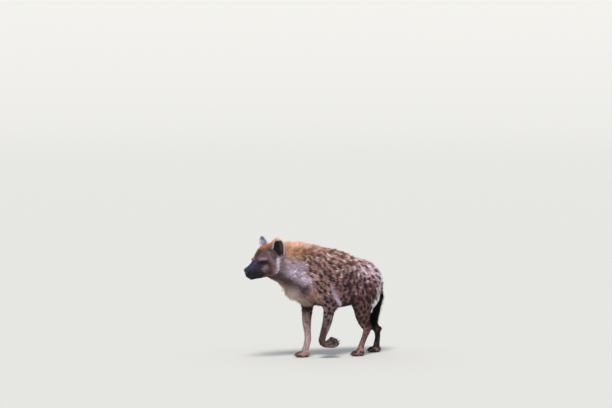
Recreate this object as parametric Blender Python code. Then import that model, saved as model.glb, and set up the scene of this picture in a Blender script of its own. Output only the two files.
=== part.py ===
"""A spotted hyena at life size, walking, its left forepaw lifted and folded back.

The animal faces -X, its left side faces -Y and +Z is up. Everything is in metres.
The flesh is made whole from lofted limbs and muscles, fused, softened and parted
with thin cuts. Ears, eyes, claws and the locks of the mane and tail are added after.
"""

import math
import random
from typing import NamedTuple

import bmesh
import bpy
import numpy as np
from mathutils import Matrix, Vector
from mathutils.bvhtree import BVHTree

GAP = 0.0003  # left between pieces that touch
VOXEL = 0.005  # the grain of the fused flesh
SOLE = 0.0065  # the paws are cut flat at this height, so that they stand

HEAD_PIVOT = Vector((-0.395, -0.012, 0.752))  # between the ears and the jaw joints
HEAD_PITCH = math.radians(17)
HEAD_YAW = math.radians(8)
EYE_RADIUS = 0.0125
EYE_PLACE = (0.098, 0.0500, 0.014)  # ahead, aside and above the head's pivot
EYE_GAZE = (0.70, 0.66, 0.20)
LID = 0.0026

UP = Vector((0, 0, 1))
AHEAD = Vector((-1, 0, 0))


class Station(NamedTuple):
    """One cross-section of a loft: its centre and how far it reaches from there."""

    place: tuple
    side: float
    front: float
    back: float


def clear_scene():
    for obj in list(bpy.data.objects):
        bpy.data.objects.remove(obj)


def smooth_rows(rows, steps):
    """The rows joined by a Catmull-Rom curve, with this many steps a span."""
    padded = np.vstack([2 * rows[0] - rows[1], rows, 2 * rows[-1] - rows[-2]])
    made = []
    for a, b, c, d in zip(padded, padded[1:], padded[2:], padded[3:]):
        for t in np.arange(steps) / steps:
            made.append(
                b
                + 0.5 * t * (c - a)
                + t * t * (a - 2.5 * b + 2 * c - 0.5 * d)
                + t**3 * (1.5 * (b - c) + 0.5 * (d - a))
            )
    return np.array([*made, rows[-1]])


def add_rings(bm, rings, tip_a, tip_b):
    """Skins a list of rings of points, closed by a point at each end."""
    grid = [[bm.verts.new(p) for p in ring] for ring in rings]
    count = len(grid[0])
    for low, high in zip(grid, grid[1:]):
        for i in range(count):
            j = (i + 1) % count
            bm.faces.new((low[i], low[j], high[j], high[i]))
    for ring, tip in ((grid[0][::-1], tip_a), (grid[-1], tip_b)):
        end = bm.verts.new(tip)
        for i in range(count):
            bm.faces.new((ring[i], ring[(i + 1) % count], end))


def tube(bm, stations, front, sides=28, steps=5, power=2.1, roundness=0.6):
    """A limb lofted through its stations, with rounded ends. front says which way
    their front faces, and a power over 2 makes the cross-sections squarer."""
    rows = np.array([[*s.place, s.side, s.front, s.back] for s in stations], float)
    rows = smooth_rows(rows, steps)
    centre = rows[:, :3]
    along = np.gradient(centre, axis=0)
    along /= np.linalg.norm(along, axis=1)[:, None]
    aside = np.cross(along, np.array(front, float))
    aside /= np.linalg.norm(aside, axis=1)[:, None]
    ahead = np.cross(aside, along)
    turn = np.linspace(0, 2 * math.pi, sides, endpoint=False)
    across = np.sign(np.cos(turn)) * np.abs(np.cos(turn)) ** (2 / power)
    height = np.sign(np.sin(turn)) * np.abs(np.sin(turn)) ** (2 / power)

    def ring(i, shrink, shift):
        reach = np.where(height > 0, rows[i, 4], rows[i, 5])
        return (
            centre[i]
            + along[i] * shift
            + np.outer(across * rows[i, 3] * shrink, aside[i])
            + np.outer(height * reach * shrink, ahead[i])
        )

    rings = [ring(i, 1, 0) for i in range(len(rows))]
    tips = []
    cap_angles = np.radians((22, 45, 66)) if roundness else ()
    for i, way in ((0, -1), (len(rows) - 1, 1)):
        depth = roundness * rows[i, 3:].mean()
        cap = [ring(i, math.cos(a), way * depth * math.sin(a)) for a in cap_angles]
        tips.append(centre[i] + along[i] * way * depth)
        rings = [*cap[::-1], *rings] if way < 0 else [*rings, *cap]
    add_rings(bm, rings, *tips)


def ball(bm, place, radii, tilt=0.0, turn=0.0):
    """An ellipsoid. It is tilted about Y, then turned about Z, in radians."""
    matrix = (
        Matrix.Translation(place)
        @ Matrix.Rotation(turn, 4, "Z")
        @ Matrix.Rotation(tilt, 4, "Y")
        @ Matrix.Diagonal((*radii, 1))
    )
    bmesh.ops.create_icosphere(bm, subdivisions=3, radius=1, matrix=matrix)


def new_object(name, bm):
    """Turns a bmesh into an object whose faces point out."""
    bmesh.ops.recalc_face_normals(bm, faces=bm.faces)
    if bm.calc_volume(signed=True) < 0:
        bmesh.ops.reverse_faces(bm, faces=bm.faces)
    mesh = bpy.data.meshes.new(name)
    bm.to_mesh(mesh)
    bm.free()
    obj = bpy.data.objects.new(name, mesh)
    bpy.context.scene.collection.objects.link(obj)
    return obj


def copy_of(obj, name):
    twin = bpy.data.objects.new(name, obj.data.copy())
    bpy.context.scene.collection.objects.link(twin)
    return twin


def apply_modifiers(obj):
    bpy.context.view_layer.update()
    graph = bpy.context.evaluated_depsgraph_get()
    mesh = bpy.data.meshes.new_from_object(obj.evaluated_get(graph))
    obj.modifiers.clear()
    old = obj.data
    obj.data = mesh
    bpy.data.meshes.remove(old)
    return obj


def fuse(obj, voxel):
    """One closed surface round every piece of the mesh."""
    remesh = obj.modifiers.new("Fuse", "REMESH")
    remesh.mode = "VOXEL"
    remesh.voxel_size = voxel
    remesh.adaptivity = 0
    return apply_modifiers(obj)


def soften(obj, passes, share):
    """Smooths the mesh. share(points) gives each vertex's share, from 0 to 1."""
    points = np.empty(len(obj.data.vertices) * 3)
    obj.data.vertices.foreach_get("co", points)
    shares = share(points.reshape(-1, 3))
    group = obj.vertex_groups.new(name="Soften")
    levels = 16
    steps = np.round(np.clip(shares, 0, 1) * levels).astype(int)
    for level in range(1, levels + 1):
        chosen = np.nonzero(steps == level)[0].tolist()
        if chosen:
            group.add(chosen, level / levels, "REPLACE")
    smooth = obj.modifiers.new("Soften", "SMOOTH")
    smooth.factor = 0.5
    smooth.iterations = passes
    smooth.vertex_group = group.name
    apply_modifiers(obj)
    obj.vertex_groups.clear()
    return obj


def slim(obj, chosen, triangles):
    """Collapses edges among the chosen vertices until about this many of their
    triangles are left. chosen(points) says which they are."""
    points = np.empty(len(obj.data.vertices) * 3)
    obj.data.vertices.foreach_get("co", points)
    mask = chosen(points.reshape(-1, 3))
    obj.data.calc_loop_triangles()
    corners = np.empty(len(obj.data.loop_triangles) * 3, int)
    obj.data.loop_triangles.foreach_get("vertices", corners)
    inside = mask[corners.reshape(-1, 3)].any(axis=1)
    group = obj.vertex_groups.new(name="Chosen")
    group.add(np.nonzero(mask)[0].tolist(), 1.0, "REPLACE")
    decimate = obj.modifiers.new("Slim", "DECIMATE")
    decimate.vertex_group = group.name
    decimate.ratio = (len(inside) - inside.sum() + triangles) / len(inside)
    apply_modifiers(obj)
    obj.vertex_groups.clear()
    return obj


def combine(obj, other, operation, solver="MANIFOLD"):
    """Applies one Boolean with another object, which stays."""
    modifier = obj.modifiers.new(operation.title(), "BOOLEAN")
    modifier.operation = operation
    modifier.solver = solver
    modifier.object = other
    return apply_modifiers(obj)


def discard(*objects):
    for obj in objects:
        bpy.data.objects.remove(obj)


def join_pieces(obj, pieces, solver="MANIFOLD"):
    """Unites an object with closed pieces in one Boolean, and removes the pieces."""
    group = bpy.data.collections.new("Pieces")
    bpy.context.scene.collection.children.link(group)
    for piece in pieces:
        bpy.context.scene.collection.objects.unlink(piece)
        group.objects.link(piece)
    modifier = obj.modifiers.new("Join", "BOOLEAN")
    modifier.operation = "UNION"
    modifier.solver = solver
    modifier.operand_type = "COLLECTION"
    modifier.collection = group
    apply_modifiers(obj)
    discard(*group.objects)
    bpy.data.collections.remove(group)
    return obj


def keep_largest(obj):
    """Drops all but the largest closed surface of a mesh."""
    bm = bmesh.new()
    bm.from_mesh(obj.data)
    left = set(bm.verts)
    islands = []
    while left:
        island = set()
        front = [left.pop()]
        while front:
            vert = front.pop()
            island.add(vert)
            near = {e.other_vert(vert) for e in vert.link_edges} & left
            left -= near
            front.extend(near)
        islands.append(island)

    def spread(island):
        size = [max(v.co[i] for v in island) - min(v.co[i] for v in island) for i in range(3)]
        return size[0] * size[1] * size[2]

    islands.sort(key=spread)
    loose = [v for island in islands[:-1] for v in island]
    bmesh.ops.delete(bm, geom=loose, context="VERTS")
    bm.to_mesh(obj.data)
    bm.free()
    return obj


def block(name, corners):
    """A convex closed solid round a list of points."""
    bm = bmesh.new()
    for corner in corners:
        bm.verts.new(corner)
    made = bmesh.ops.convex_hull(bm, input=bm.verts)
    bmesh.ops.delete(bm, geom=made["geom_interior"], context="VERTS")
    return new_object(name, bm)


def half_space(name, point, normal, gap=0.0, size=3.0):
    """A big box on the side of a plane that the normal points to."""
    normal = Vector(normal).normalized()
    bm = bmesh.new()
    bmesh.ops.create_cube(bm, size=size)
    place = Matrix.Translation(Vector(point) + normal * (size / 2 + gap))
    bm.transform(place @ normal.to_track_quat("Z", "X").to_matrix().to_4x4())
    return new_object(name, bm)


def in_head(ahead, aside, above):
    """A place in the head's own frame, in the frame of the whole body."""
    turn = Matrix.Rotation(HEAD_YAW, 3, "Z") @ Matrix.Rotation(-HEAD_PITCH, 3, "Y")
    return HEAD_PIVOT + turn @ Vector((-ahead, aside, above))


def head_way(ahead, aside, above):
    return (in_head(ahead, aside, above) - HEAD_PIVOT).normalized()


# The trunk and the neck, as sections from the head to the tail

TRUNK = [
    Station((-0.185, 0, 0.540), 0.052, 0.12, 0.085),
    Station((-0.130, 0, 0.560), 0.094, 0.21, 0.140),
    Station((-0.050, 0, 0.575), 0.118, 0.235, 0.172),
    Station((0.060, 0, 0.570), 0.130, 0.245, 0.178),
    Station((0.180, 0, 0.555), 0.137, 0.240, 0.182),
    Station((0.300, 0, 0.550), 0.132, 0.222, 0.175),
    Station((0.400, 0, 0.560), 0.115, 0.186, 0.150),
    Station((0.490, 0, 0.575), 0.104, 0.138, 0.125),
    Station((0.560, 0, 0.570), 0.088, 0.088, 0.105),
    Station((0.600, 0, 0.560), 0.055, 0.055, 0.080),
]
NECK = [
    Station((0.020, 0, 0.640), 0.105, 0.175, 0.170),
    Station((-0.080, 0, 0.660), 0.104, 0.165, 0.160),
    Station((-0.160, -0.001, 0.680), 0.099, 0.150, 0.156),
    Station((-0.240, -0.004, 0.697), 0.090, 0.136, 0.139),
    Station((-0.320, -0.008, 0.715), 0.084, 0.122, 0.119),
    Station((-0.380, -0.011, 0.735), 0.076, 0.104, 0.112),
]


def trunk_pieces(bm):
    tube(bm, TRUNK, UP, sides=36)
    tube(bm, NECK, UP, sides=32)
    for side in (-1, 1):
        ball(bm, (0.000, 0.080 * side, 0.660), (0.090, 0.045, 0.145), tilt=0.35)
        ball(bm, (-0.095, 0.070 * side, 0.550), (0.065, 0.055, 0.095), tilt=-0.2)
        ball(bm, (0.055, 0.100 * side, 0.500), (0.085, 0.045, 0.085))
        ball(bm, (0.500, 0.062 * side, 0.590), (0.095, 0.052, 0.090), tilt=0.5)


# Each leg is a loft from its shoulder or hip down to its wrist or heel

LEFT_FORELEG = [
    Station((-0.060, -0.098, 0.600), 0.050, 0.070, 0.080),
    Station((-0.002, -0.116, 0.500), 0.047, 0.072, 0.082),
    Station((0.066, -0.124, 0.412), 0.042, 0.060, 0.064),
    Station((0.064, -0.125, 0.345), 0.037, 0.047, 0.046),
    Station((0.044, -0.124, 0.255), 0.030, 0.038, 0.036),
    Station((0.018, -0.121, 0.185), 0.025, 0.030, 0.028),
    Station((0.004, -0.120, 0.136), 0.026, 0.028, 0.027),
]
RIGHT_FORELEG = [
    Station((-0.050, 0.096, 0.600), 0.050, 0.070, 0.080),
    Station((-0.012, 0.106, 0.500), 0.046, 0.068, 0.076),
    Station((0.024, 0.099, 0.412), 0.041, 0.056, 0.058),
    Station((0.017, 0.090, 0.345), 0.036, 0.047, 0.046),
    Station((0.011, 0.082, 0.255), 0.029, 0.037, 0.035),
    Station((0.014, 0.077, 0.185), 0.024, 0.028, 0.028),
    Station((0.014, 0.075, 0.140), 0.026, 0.027, 0.028),
    Station((0.001, 0.073, 0.090), 0.027, 0.023, 0.024),
    Station((-0.015, 0.073, 0.045), 0.030, 0.022, 0.026),
]
LEFT_HIND_LEG = [
    Station((0.490, -0.070, 0.600), 0.052, 0.100, 0.080),
    Station((0.446, -0.094, 0.490), 0.054, 0.114, 0.110),
    Station((0.404, -0.100, 0.400), 0.047, 0.090, 0.096),
    Station((0.392, -0.098, 0.330), 0.040, 0.072, 0.072),
    Station((0.410, -0.095, 0.260), 0.030, 0.050, 0.052),
    Station((0.437, -0.093, 0.205), 0.023, 0.034, 0.036),
    Station((0.415, -0.093, 0.145), 0.021, 0.024, 0.023),
    Station((0.389, -0.094, 0.090), 0.023, 0.022, 0.022),
    Station((0.370, -0.094, 0.045), 0.027, 0.022, 0.024),
]
RIGHT_HIND_LEG = [
    Station((0.500, 0.070, 0.600), 0.052, 0.095, 0.080),
    Station((0.500, 0.094, 0.490), 0.054, 0.106, 0.104),
    Station((0.512, 0.100, 0.400), 0.047, 0.086, 0.088),
    Station((0.536, 0.098, 0.330), 0.040, 0.068, 0.066),
    Station((0.596, 0.092, 0.250), 0.030, 0.048, 0.046),
    Station((0.656, 0.088, 0.186), 0.023, 0.034, 0.032),
    Station((0.668, 0.086, 0.134), 0.021, 0.024, 0.022),
    Station((0.662, 0.085, 0.088), 0.023, 0.022, 0.021),
    Station((0.652, 0.085, 0.045), 0.027, 0.022, 0.024),
]


class Paw(NamedTuple):
    """Where a paw is: its knuckles, the way its toes point and its upper side."""

    name: str
    knuckles: tuple
    toes: tuple
    upper: tuple
    width: float
    length: float


PAWS = [
    Paw("forepaw_left", (0.082, -0.119, 0.117), (1, 0, 0.22), (0.22, 0.62, -1), 1.0, 0.95),
    Paw("forepaw_right", (-0.021, 0.073, 0.030), (-1, 0, 0), (0, 0, 1), 1.0, 1.0),
    Paw("hindpaw_left", (0.366, -0.094, 0.029), (-1, 0, 0), (0, 0, 1), 0.88, 0.92),
    Paw("hindpaw_right", (0.648, 0.085, 0.029), (-1, 0, 0), (0, 0, 1), 0.88, 0.92),
]
TOE_ASIDE = (-0.034, -0.0115, 0.0115, 0.034)
TOE_REACH = (0.048, 0.064, 0.064, 0.048)


def paw_frame(paw):
    """The matrix that carries a paw's own frame, toes ahead on X, to its place."""
    ahead = Vector(paw.toes).normalized()
    aside = ahead.cross(Vector(paw.upper)).normalized()
    above = aside.cross(ahead)
    turn = Matrix((ahead, aside, above)).transposed().to_4x4()
    return Matrix.Translation(paw.knuckles) @ turn


def paw_pieces(bm, paw):
    """Four arched toes over their pads, and the large pad behind them."""
    own = bmesh.new()
    for aside, reach in zip(TOE_ASIDE, TOE_REACH):
        aside, reach = aside * paw.width, reach * paw.length
        toe = [
            Station((-0.026, aside * 0.55, 0.004), 0.013, 0.014, 0.020),
            Station((0.004, aside * 0.85, 0.006), 0.0135, 0.014, 0.020),
            Station((0.55 * reach, aside, 0.003), 0.0125, 0.014, 0.019),
            Station((reach, aside * 1.04, -0.008), 0.0115, 0.012, 0.012),
        ]
        tube(own, toe, (0, 0, 1), sides=16, steps=3)
        ball(own, (0.68 * reach, aside, -0.015), (0.017, 0.0115, 0.012))
    ball(own, (-0.006, 0, -0.010), (0.032, 0.031 * paw.width, 0.017))
    own.transform(paw_frame(paw))
    mesh = bpy.data.meshes.new("paw")
    own.to_mesh(mesh)
    own.free()
    bm.from_mesh(mesh)
    bpy.data.meshes.remove(mesh)


def leg_pieces(bm):
    tube(bm, LEFT_FORELEG, AHEAD, sides=24)
    tube(bm, RIGHT_FORELEG, AHEAD, sides=24)
    tube(bm, LEFT_HIND_LEG, AHEAD, sides=24)
    tube(bm, RIGHT_HIND_LEG, AHEAD, sides=24)
    folded = [
        Station((0.006, -0.120, 0.128), 0.026, 0.024, 0.025),
        Station((0.036, -0.120, 0.108), 0.026, 0.021, 0.023),
        Station((0.074, -0.119, 0.111), 0.029, 0.020, 0.024),
    ]
    tube(bm, folded, -UP, sides=24)
    ball(bm, (0.124, -0.126, 0.420), (0.046, 0.026, 0.036), tilt=0.3)
    ball(bm, (0.078, 0.104, 0.412), (0.038, 0.026, 0.034), tilt=0.3)
    ball(bm, (0.467, -0.093, 0.212), (0.020, 0.015, 0.022), tilt=-0.5)
    ball(bm, (0.688, 0.088, 0.182), (0.020, 0.015, 0.022), tilt=-0.3)
    for paw in PAWS:
        paw_pieces(bm, paw)


TAIL = [
    Station((0.560, 0, 0.610), 0.026, 0.026, 0.026),
    Station((0.612, 0, 0.570), 0.025, 0.026, 0.026),
    Station((0.624, 0, 0.500), 0.020, 0.020, 0.020),
    Station((0.612, 0, 0.420), 0.015, 0.015, 0.015),
    Station((0.592, 0, 0.340), 0.012, 0.012, 0.012),
    Station((0.572, 0, 0.270), 0.007, 0.007, 0.007),
]


# The head, lofted along its own axis from the nape to the nose

SKULL = [
    Station((-0.075, 0, -0.012), 0.074, 0.098, 0.096),
    Station((-0.030, 0, -0.006), 0.082, 0.114, 0.114),
    Station((0.020, 0, -0.004), 0.084, 0.116, 0.118),
    Station((0.065, 0, -0.008), 0.077, 0.099, 0.110),
    Station((0.100, 0, -0.014), 0.060, 0.076, 0.094),
    Station((0.140, 0, -0.019), 0.050, 0.060, 0.080),
    Station((0.180, 0, -0.021), 0.046, 0.048, 0.064),
    Station((0.215, 0, -0.015), 0.041, 0.036, 0.051),
]


def head_matrix():
    turn = Matrix.Rotation(HEAD_YAW, 4, "Z") @ Matrix.Rotation(-HEAD_PITCH, 4, "Y")
    return Matrix.Translation(HEAD_PIVOT) @ turn


def head_pieces(bm):
    """The skull, the cheeks, the brows, the lips' pads and the nose."""
    own = bmesh.new()
    skull = [Station((-s.place[0], *s.place[1:]), *s[1:]) for s in SKULL]
    tube(own, skull, UP, sides=32, power=2.35, roundness=0.35)
    for side in (-1, 1):
        ball(own, (-0.030, 0.062 * side, -0.048), (0.058, 0.030, 0.058))
        ball(own, (-0.094, 0.049 * side, 0.036), (0.032, 0.017, 0.013), tilt=0.3)
        ball(own, (-0.078, 0.049 * side, -0.022), (0.046, 0.021, 0.026))
        ball(own, (-0.165, 0.026 * side, -0.040), (0.050, 0.022, 0.032))
        ball(own, (-0.221, 0.016 * side, -0.002), (0.021, 0.016, 0.018))
    ball(own, (-0.186, 0, -0.069), (0.034, 0.028, 0.017))
    ball(own, (-0.229, 0, -0.004), (0.017, 0.022, 0.020))
    ball(own, (-0.224, 0, -0.029), (0.015, 0.024, 0.022), tilt=-0.35)
    own.transform(head_matrix())
    mesh = bpy.data.meshes.new("head")
    own.to_mesh(mesh)
    own.free()
    bm.from_mesh(mesh)
    bpy.data.meshes.remove(mesh)


def ramp(values, low, high):
    """0 below low, 1 above high and smooth between."""
    t = np.clip((values - low) / (high - low), 0, 1)
    return t * t * (3 - 2 * t)


def make_flesh():
    """The whole animal but its ears, in one fused and softened skin."""
    bm = bmesh.new()
    trunk_pieces(bm)
    leg_pieces(bm)
    head_pieces(bm)
    tube(bm, TAIL, AHEAD, sides=16)
    flesh = fuse(new_object("flesh", bm), VOXEL)

    def trunk_share(points):
        ahead = (points - np.array(HEAD_PIVOT)) @ np.array(head_way(1, 0, 0))
        tail = ramp(points[:, 0], 0.57, 0.61) * (1 - ramp(points[:, 2], 0.48, 0.56))
        return ramp(points[:, 2], 0.24, 0.48) * (1 - ramp(ahead, -0.08, 0.0)) * (1 - tail)

    def head_share(points):
        ahead = (points - np.array(HEAD_PIVOT)) @ np.array(head_way(1, 0, 0))
        return ramp(ahead, -0.09, -0.03) * (1 - ramp(ahead, 0.12, 0.19))

    soften(flesh, 160, trunk_share)
    soften(flesh, 16, head_share)
    soften(flesh, 5, lambda points: np.ones(len(points)))
    return flesh


# The face: lids, nostrils and the line of the mouth


def head_ball(name, ahead, aside, above, radii, way=None):
    """An ellipsoid in the head's frame. way turns its long axis, X, to that way."""
    bm = bmesh.new()
    turn = Vector(way or (1, 0, 0)).to_track_quat("X", "Z").to_matrix().to_4x4()
    bmesh.ops.create_icosphere(
        bm, subdivisions=1, radius=1, matrix=turn @ Matrix.Diagonal((*radii, 1))
    )
    bm.transform(Matrix.Translation((-ahead, aside, above)))
    bm.transform(head_matrix())
    return new_object(name, bm)


def eye_centre(side):
    return in_head(EYE_PLACE[0], EYE_PLACE[1] * side, EYE_PLACE[2])


def eye_gaze(side):
    return head_way(EYE_GAZE[0], EYE_GAZE[1] * side, EYE_GAZE[2])


def sphere(name, place, radius, segments=14):
    bm = bmesh.new()
    bmesh.ops.create_uvsphere(bm, u_segments=segments, v_segments=segments // 2, radius=radius)
    bm.transform(Matrix.Translation(place))
    return new_object(name, bm)


def eye_slit(side):
    """The almond between the lids, as a flaring plug along the gaze."""
    gaze = eye_gaze(side)
    brow = head_way(0.10, 0, 1)
    across = gaze.cross(brow).normalized()
    brow = across.cross(gaze)
    tilt = -0.16 * side
    corners = []
    for depth, flare in ((0.2 * EYE_RADIUS, 0.9), (2.2 * EYE_RADIUS, 1.35)):
        for a in np.linspace(0, 2 * math.pi, 16, endpoint=False):
            wide = 0.94 * EYE_RADIUS * math.cos(a)
            tall = 0.60 * EYE_RADIUS * math.copysign(abs(math.sin(a)) ** 1.3, math.sin(a))
            at = across * (wide * math.cos(tilt) - tall * math.sin(tilt)) * flare
            at += brow * (wide * math.sin(tilt) + tall * math.cos(tilt)) * flare
            corners.append(eye_centre(side) + gaze * depth + at)
    return block("slit", corners)


MOUTH_CENTRE = (0.155, 0, -0.050)


def mouth_path(flesh):
    """Points on the muzzle from one corner of the mouth round to the other."""
    tree = BVHTree.FromObject(flesh, bpy.context.evaluated_depsgraph_get())
    path = []
    for degrees in range(-126, 127, 18):
        a = math.radians(degrees)
        rise = 0.10 * (1 - abs(math.cos(a / 2))) + 0.10 * math.cos(a) - 0.04
        way = head_way(math.cos(a), math.sin(a), rise)
        path.append(tree.ray_cast(in_head(*MOUTH_CENTRE), way)[0])
    return path


def mouth_tube(path, name, above, depth, thickness):
    """A flat band along the mouth, this far above the line between the lips."""
    rows = []
    last = len(path) - 1
    for i, place in enumerate(path):
        fade = min(1, 0.35 + 3 * min(i, last - i) / last)
        at = place + head_way(0, 0, 1) * above * fade
        rows.append(Station(tuple(at), depth * fade, thickness * fade, thickness * fade))
    bm = bmesh.new()
    tube(bm, rows, UP, sides=6, steps=1, power=2.0, roundness=0)
    return new_object(name, bm)


def face_details(flesh):
    """Lips, lids and nose wings are joined on, then the openings are cut."""
    path = mouth_path(flesh)
    added = [
        mouth_tube(path, "upper_lip", 0.0050, 0.0035, 0.0040),
        mouth_tube(path, "lower_lip", -0.0048, 0.0030, 0.0036),
    ]
    cuts = [mouth_tube(path, "mouth", 0, 0.0085, 0.0014)]
    for side in (-1, 1):
        place = eye_centre(side)
        added.append(sphere("lid", place, EYE_RADIUS + LID))
        cuts.append(sphere("socket", place, EYE_RADIUS + GAP))
        cuts.append(eye_slit(side))
        wing = (1, 0.75 * side, -0.1)
        cuts.append(head_ball("nostril", 0.240, 0.0125 * side, -0.008, (0.012, 0.0042, 0.0052), wing))
    join_pieces(flesh, added)
    for cut in cuts:
        combine(flesh, cut, "DIFFERENCE")
    discard(*cuts)
    return flesh


class Ear(NamedTuple):
    """One level of an ear: how far up, its half width, cup depth and wall."""

    up: float
    half: float
    cup: float
    wall: float


EAR = [
    Ear(-0.040, 0.022, 0.026, 0.030),
    Ear(-0.014, 0.034, 0.032, 0.024),
    Ear(0.012, 0.043, 0.033, 0.010),
    Ear(0.042, 0.0475, 0.029, 0.006),
    Ear(0.074, 0.0465, 0.023, 0.005),
    Ear(0.101, 0.0405, 0.017, 0.0045),
    Ear(0.120, 0.0300, 0.011, 0.004),
    Ear(0.131, 0.0160, 0.006, 0.003),
]
EAR_PLACE = {-1: (-0.038, 0.073, 0.011), 1: (-0.036, 0.069, 0.028)}
EAR_UP = (-0.07, 0.18, 1)
EAR_OUT = {-1: 1.0, 1: -0.06}  # how far each opening faces aside
EAR_SEAM = (-0.05, 0.88, 0.47)  # the way the cut between an ear and the head faces
EAR_SEAM_PLACE = (-0.036, 0.080, 0.050)


def ear_frame(side):
    """The ear's own frame in the world: X across it, Y out of its cup, Z up it."""
    ahead, aside, above = EAR_UP
    up = head_way(ahead, aside * side, above)
    out = head_way(1, EAR_OUT[side] * side, 0)
    across = out.cross(up).normalized()
    out = up.cross(across)
    turn = Matrix((across, out, up)).transposed().to_4x4()
    ahead, aside, above = EAR_PLACE[side]
    return Matrix.Translation(in_head(ahead, aside * side, above)) @ turn


def ear_shell(side):
    """A cupped ear, as crescents stacked up its length."""
    angles = np.radians(np.linspace(-78, 78, 9))
    rings = []
    for level in EAR:
        lean = -0.10 * max(level.up, 0)
        back = [(level.half * math.sin(a), lean - level.cup * math.cos(a)) for a in angles]
        inner = [
            ((level.half - level.wall * 0.6) * math.sin(a),
             lean - (level.cup - level.wall) * math.cos(a) + level.wall * 0.15)
            for a in angles[::-1]
        ]
        rings.append([Vector((x, y, level.up)) for x, y in back + inner])
    tips = [sum(ring, Vector()) / len(ring) for ring in (rings[0], rings[-1])]
    tips[1].z += 0.003
    bm = bmesh.new()
    add_rings(bm, rings, *tips)
    bm.transform(ear_frame(side))
    return new_object("ear", bm)


# Coarse hair: flat, tapered locks bent along the lie of the coat


def add_lock(bm, root, heading, lie, across, size, curl):
    """One lock, as wide and thick as its size says. It sets out along the heading
    and bends towards the lie."""
    length, width, thickness = size
    place = root - heading * 0.22 * length
    rings = []
    steps = (0, 0.34, 0.36, 0.30)
    for i, (step, share) in enumerate(zip(steps, (0.85, 1.0, 0.84, 0.48))):
        place = place + heading * step * length
        aside = (across - heading * across.dot(heading)).normalized()
        depth = heading.cross(aside)
        wide = aside * width * share / 2
        deep = depth * thickness * share / 2
        rings.append([place + wide, place + deep, place - wide, place - deep])
        heading = (heading + lie * curl).normalized()
    add_rings(bm, rings, sum(rings[0], Vector()) / 4, place + heading * 0.22 * length)


def lock_object(*shape):
    bm = bmesh.new()
    add_lock(bm, *shape)
    return new_object("lock", bm)


MANE_REACH = (-0.360, 0.270)
NAPE = -0.322  # only the middle rows reach ahead of it, between the ears
MANE_ROWS = (-0.048, -0.016, 0.016, 0.048)
MANE_COLUMNS = 16


def mane_height(x):
    """Length of the crest's hair: long on the neck and short behind the withers."""
    return 0.062 - 0.034 * float(ramp(np.array(x), -0.06, 0.22))


def mane_locks(flesh, rng):
    """Rows of locks along the crest, upright on the neck and laid back behind."""
    tree = BVHTree.FromObject(flesh, bpy.context.evaluated_depsgraph_get())
    locks = []
    start, end = MANE_REACH
    for column in range(MANE_COLUMNS):
        for row, y in enumerate(MANE_ROWS):
            x = start + (end - start) * (column + 0.5 * (row % 2)) / MANE_COLUMNS
            x += rng.uniform(-0.005, 0.005)
            if x < NAPE and abs(y) > MANE_ROWS[2]:
                continue
            root, _, _, _ = tree.ray_cast(Vector((x, y + rng.uniform(-0.003, 0.003), 2)), -UP)
            back = float(ramp(np.array(x), -0.24, 0.12))
            lean = 0.40 if x < NAPE else -0.10 + back
            heading = Vector((lean, (7 - 3 * back) * y, 1.0 - 0.52 * back)).normalized()
            lie = Vector((0.75 + 0.25 * back, (9 - 5 * back) * y, 0.25 - 0.60 * back)).normalized()
            across = Vector((1 - 0.5 * back, rng.uniform(0.25, 0.75) * back + rng.uniform(-0.3, 0.3), 0.1))
            length = mane_height(x) * (1 + 0.55 * back) * rng.uniform(0.85, 1.10)
            size = (length, rng.uniform(0.040, 0.050) - 0.012 * back, 0.013)
            locks.append(lock_object(root, heading, lie, across, size, rng.uniform(0.22, 0.42)))
    return locks


BRUSH_LOCKS = 25


def brush_locks(rng):
    """Locks hanging round the lower two thirds of the tail."""
    locks = []
    path = smooth_rows(np.array([s.place for s in TAIL], float), 12)
    for i in range(BRUSH_LOCKS):
        along = (0.40 + 0.58 * (i + 0.5) / BRUSH_LOCKS) * (len(path) - 2)
        root = Vector(path[int(along)])
        down = Vector(path[int(along) + 1] - path[int(along)]).normalized()
        turn = 2.4 * i + rng.uniform(-0.3, 0.3)
        out = Vector((math.cos(turn), math.sin(turn), 0.2)).normalized()
        heading = (down + out * rng.uniform(0.30, 0.42)).normalized()
        across = Vector((-out.y, out.x, 0))
        size = (rng.uniform(0.090, 0.110), rng.uniform(0.026, 0.032), 0.013)
        locks.append(lock_object(root + out * 0.003, heading, down, across, size, 0.35))
    return locks


CLAW = ((0.002, -0.005, 0.0046), (0.011, -0.007, 0.0038), (0.018, -0.011, 0.0024))


def claws(paw):
    """Four blunt claws, one at the end of each toe."""
    made = []
    angles = np.radians((0, 72, 144, 216, 288))
    for aside, reach in zip(TOE_ASIDE, TOE_REACH):
        aside, reach = aside * paw.width * 1.04, reach * paw.length
        rings = [
            [Vector((reach + x, aside + 0.8 * r * math.sin(a), z + r * math.cos(a))) for a in angles]
            for x, z, r in CLAW
        ]
        bm = bmesh.new()
        root = Vector((reach + CLAW[0][0] - 0.002, aside, CLAW[0][1]))
        tip = Vector((reach + CLAW[-1][0] + 0.003, aside, CLAW[-1][1] - 0.002))
        add_rings(bm, rings, root, tip)
        bm.transform(paw_frame(paw))
        made.append(new_object("claw", bm))
    return made


# The cuts that part the whole animal into its pieces


def inset(outline, gap):
    """A convex outline, listed anticlockwise, with every side moved in by the gap."""
    made = []
    for i, corner in enumerate(outline):
        before = (corner - outline[i - 1]).normalized()
        after = (outline[(i + 1) % len(outline)] - corner).normalized()
        inward = Vector((-before.y - after.y, before.x + after.x)).normalized()
        spread = inward.dot(Vector((-before.y, before.x)))
        made.append(corner + inward * gap / spread)
    return made


class Wedge(NamedTuple):
    """A cut round the top of a leg: its outline from the side, anticlockwise in
    X and Z, and the line in Y and Z that its inner face follows."""

    outline: tuple
    inner_height: float
    slope: float


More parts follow.
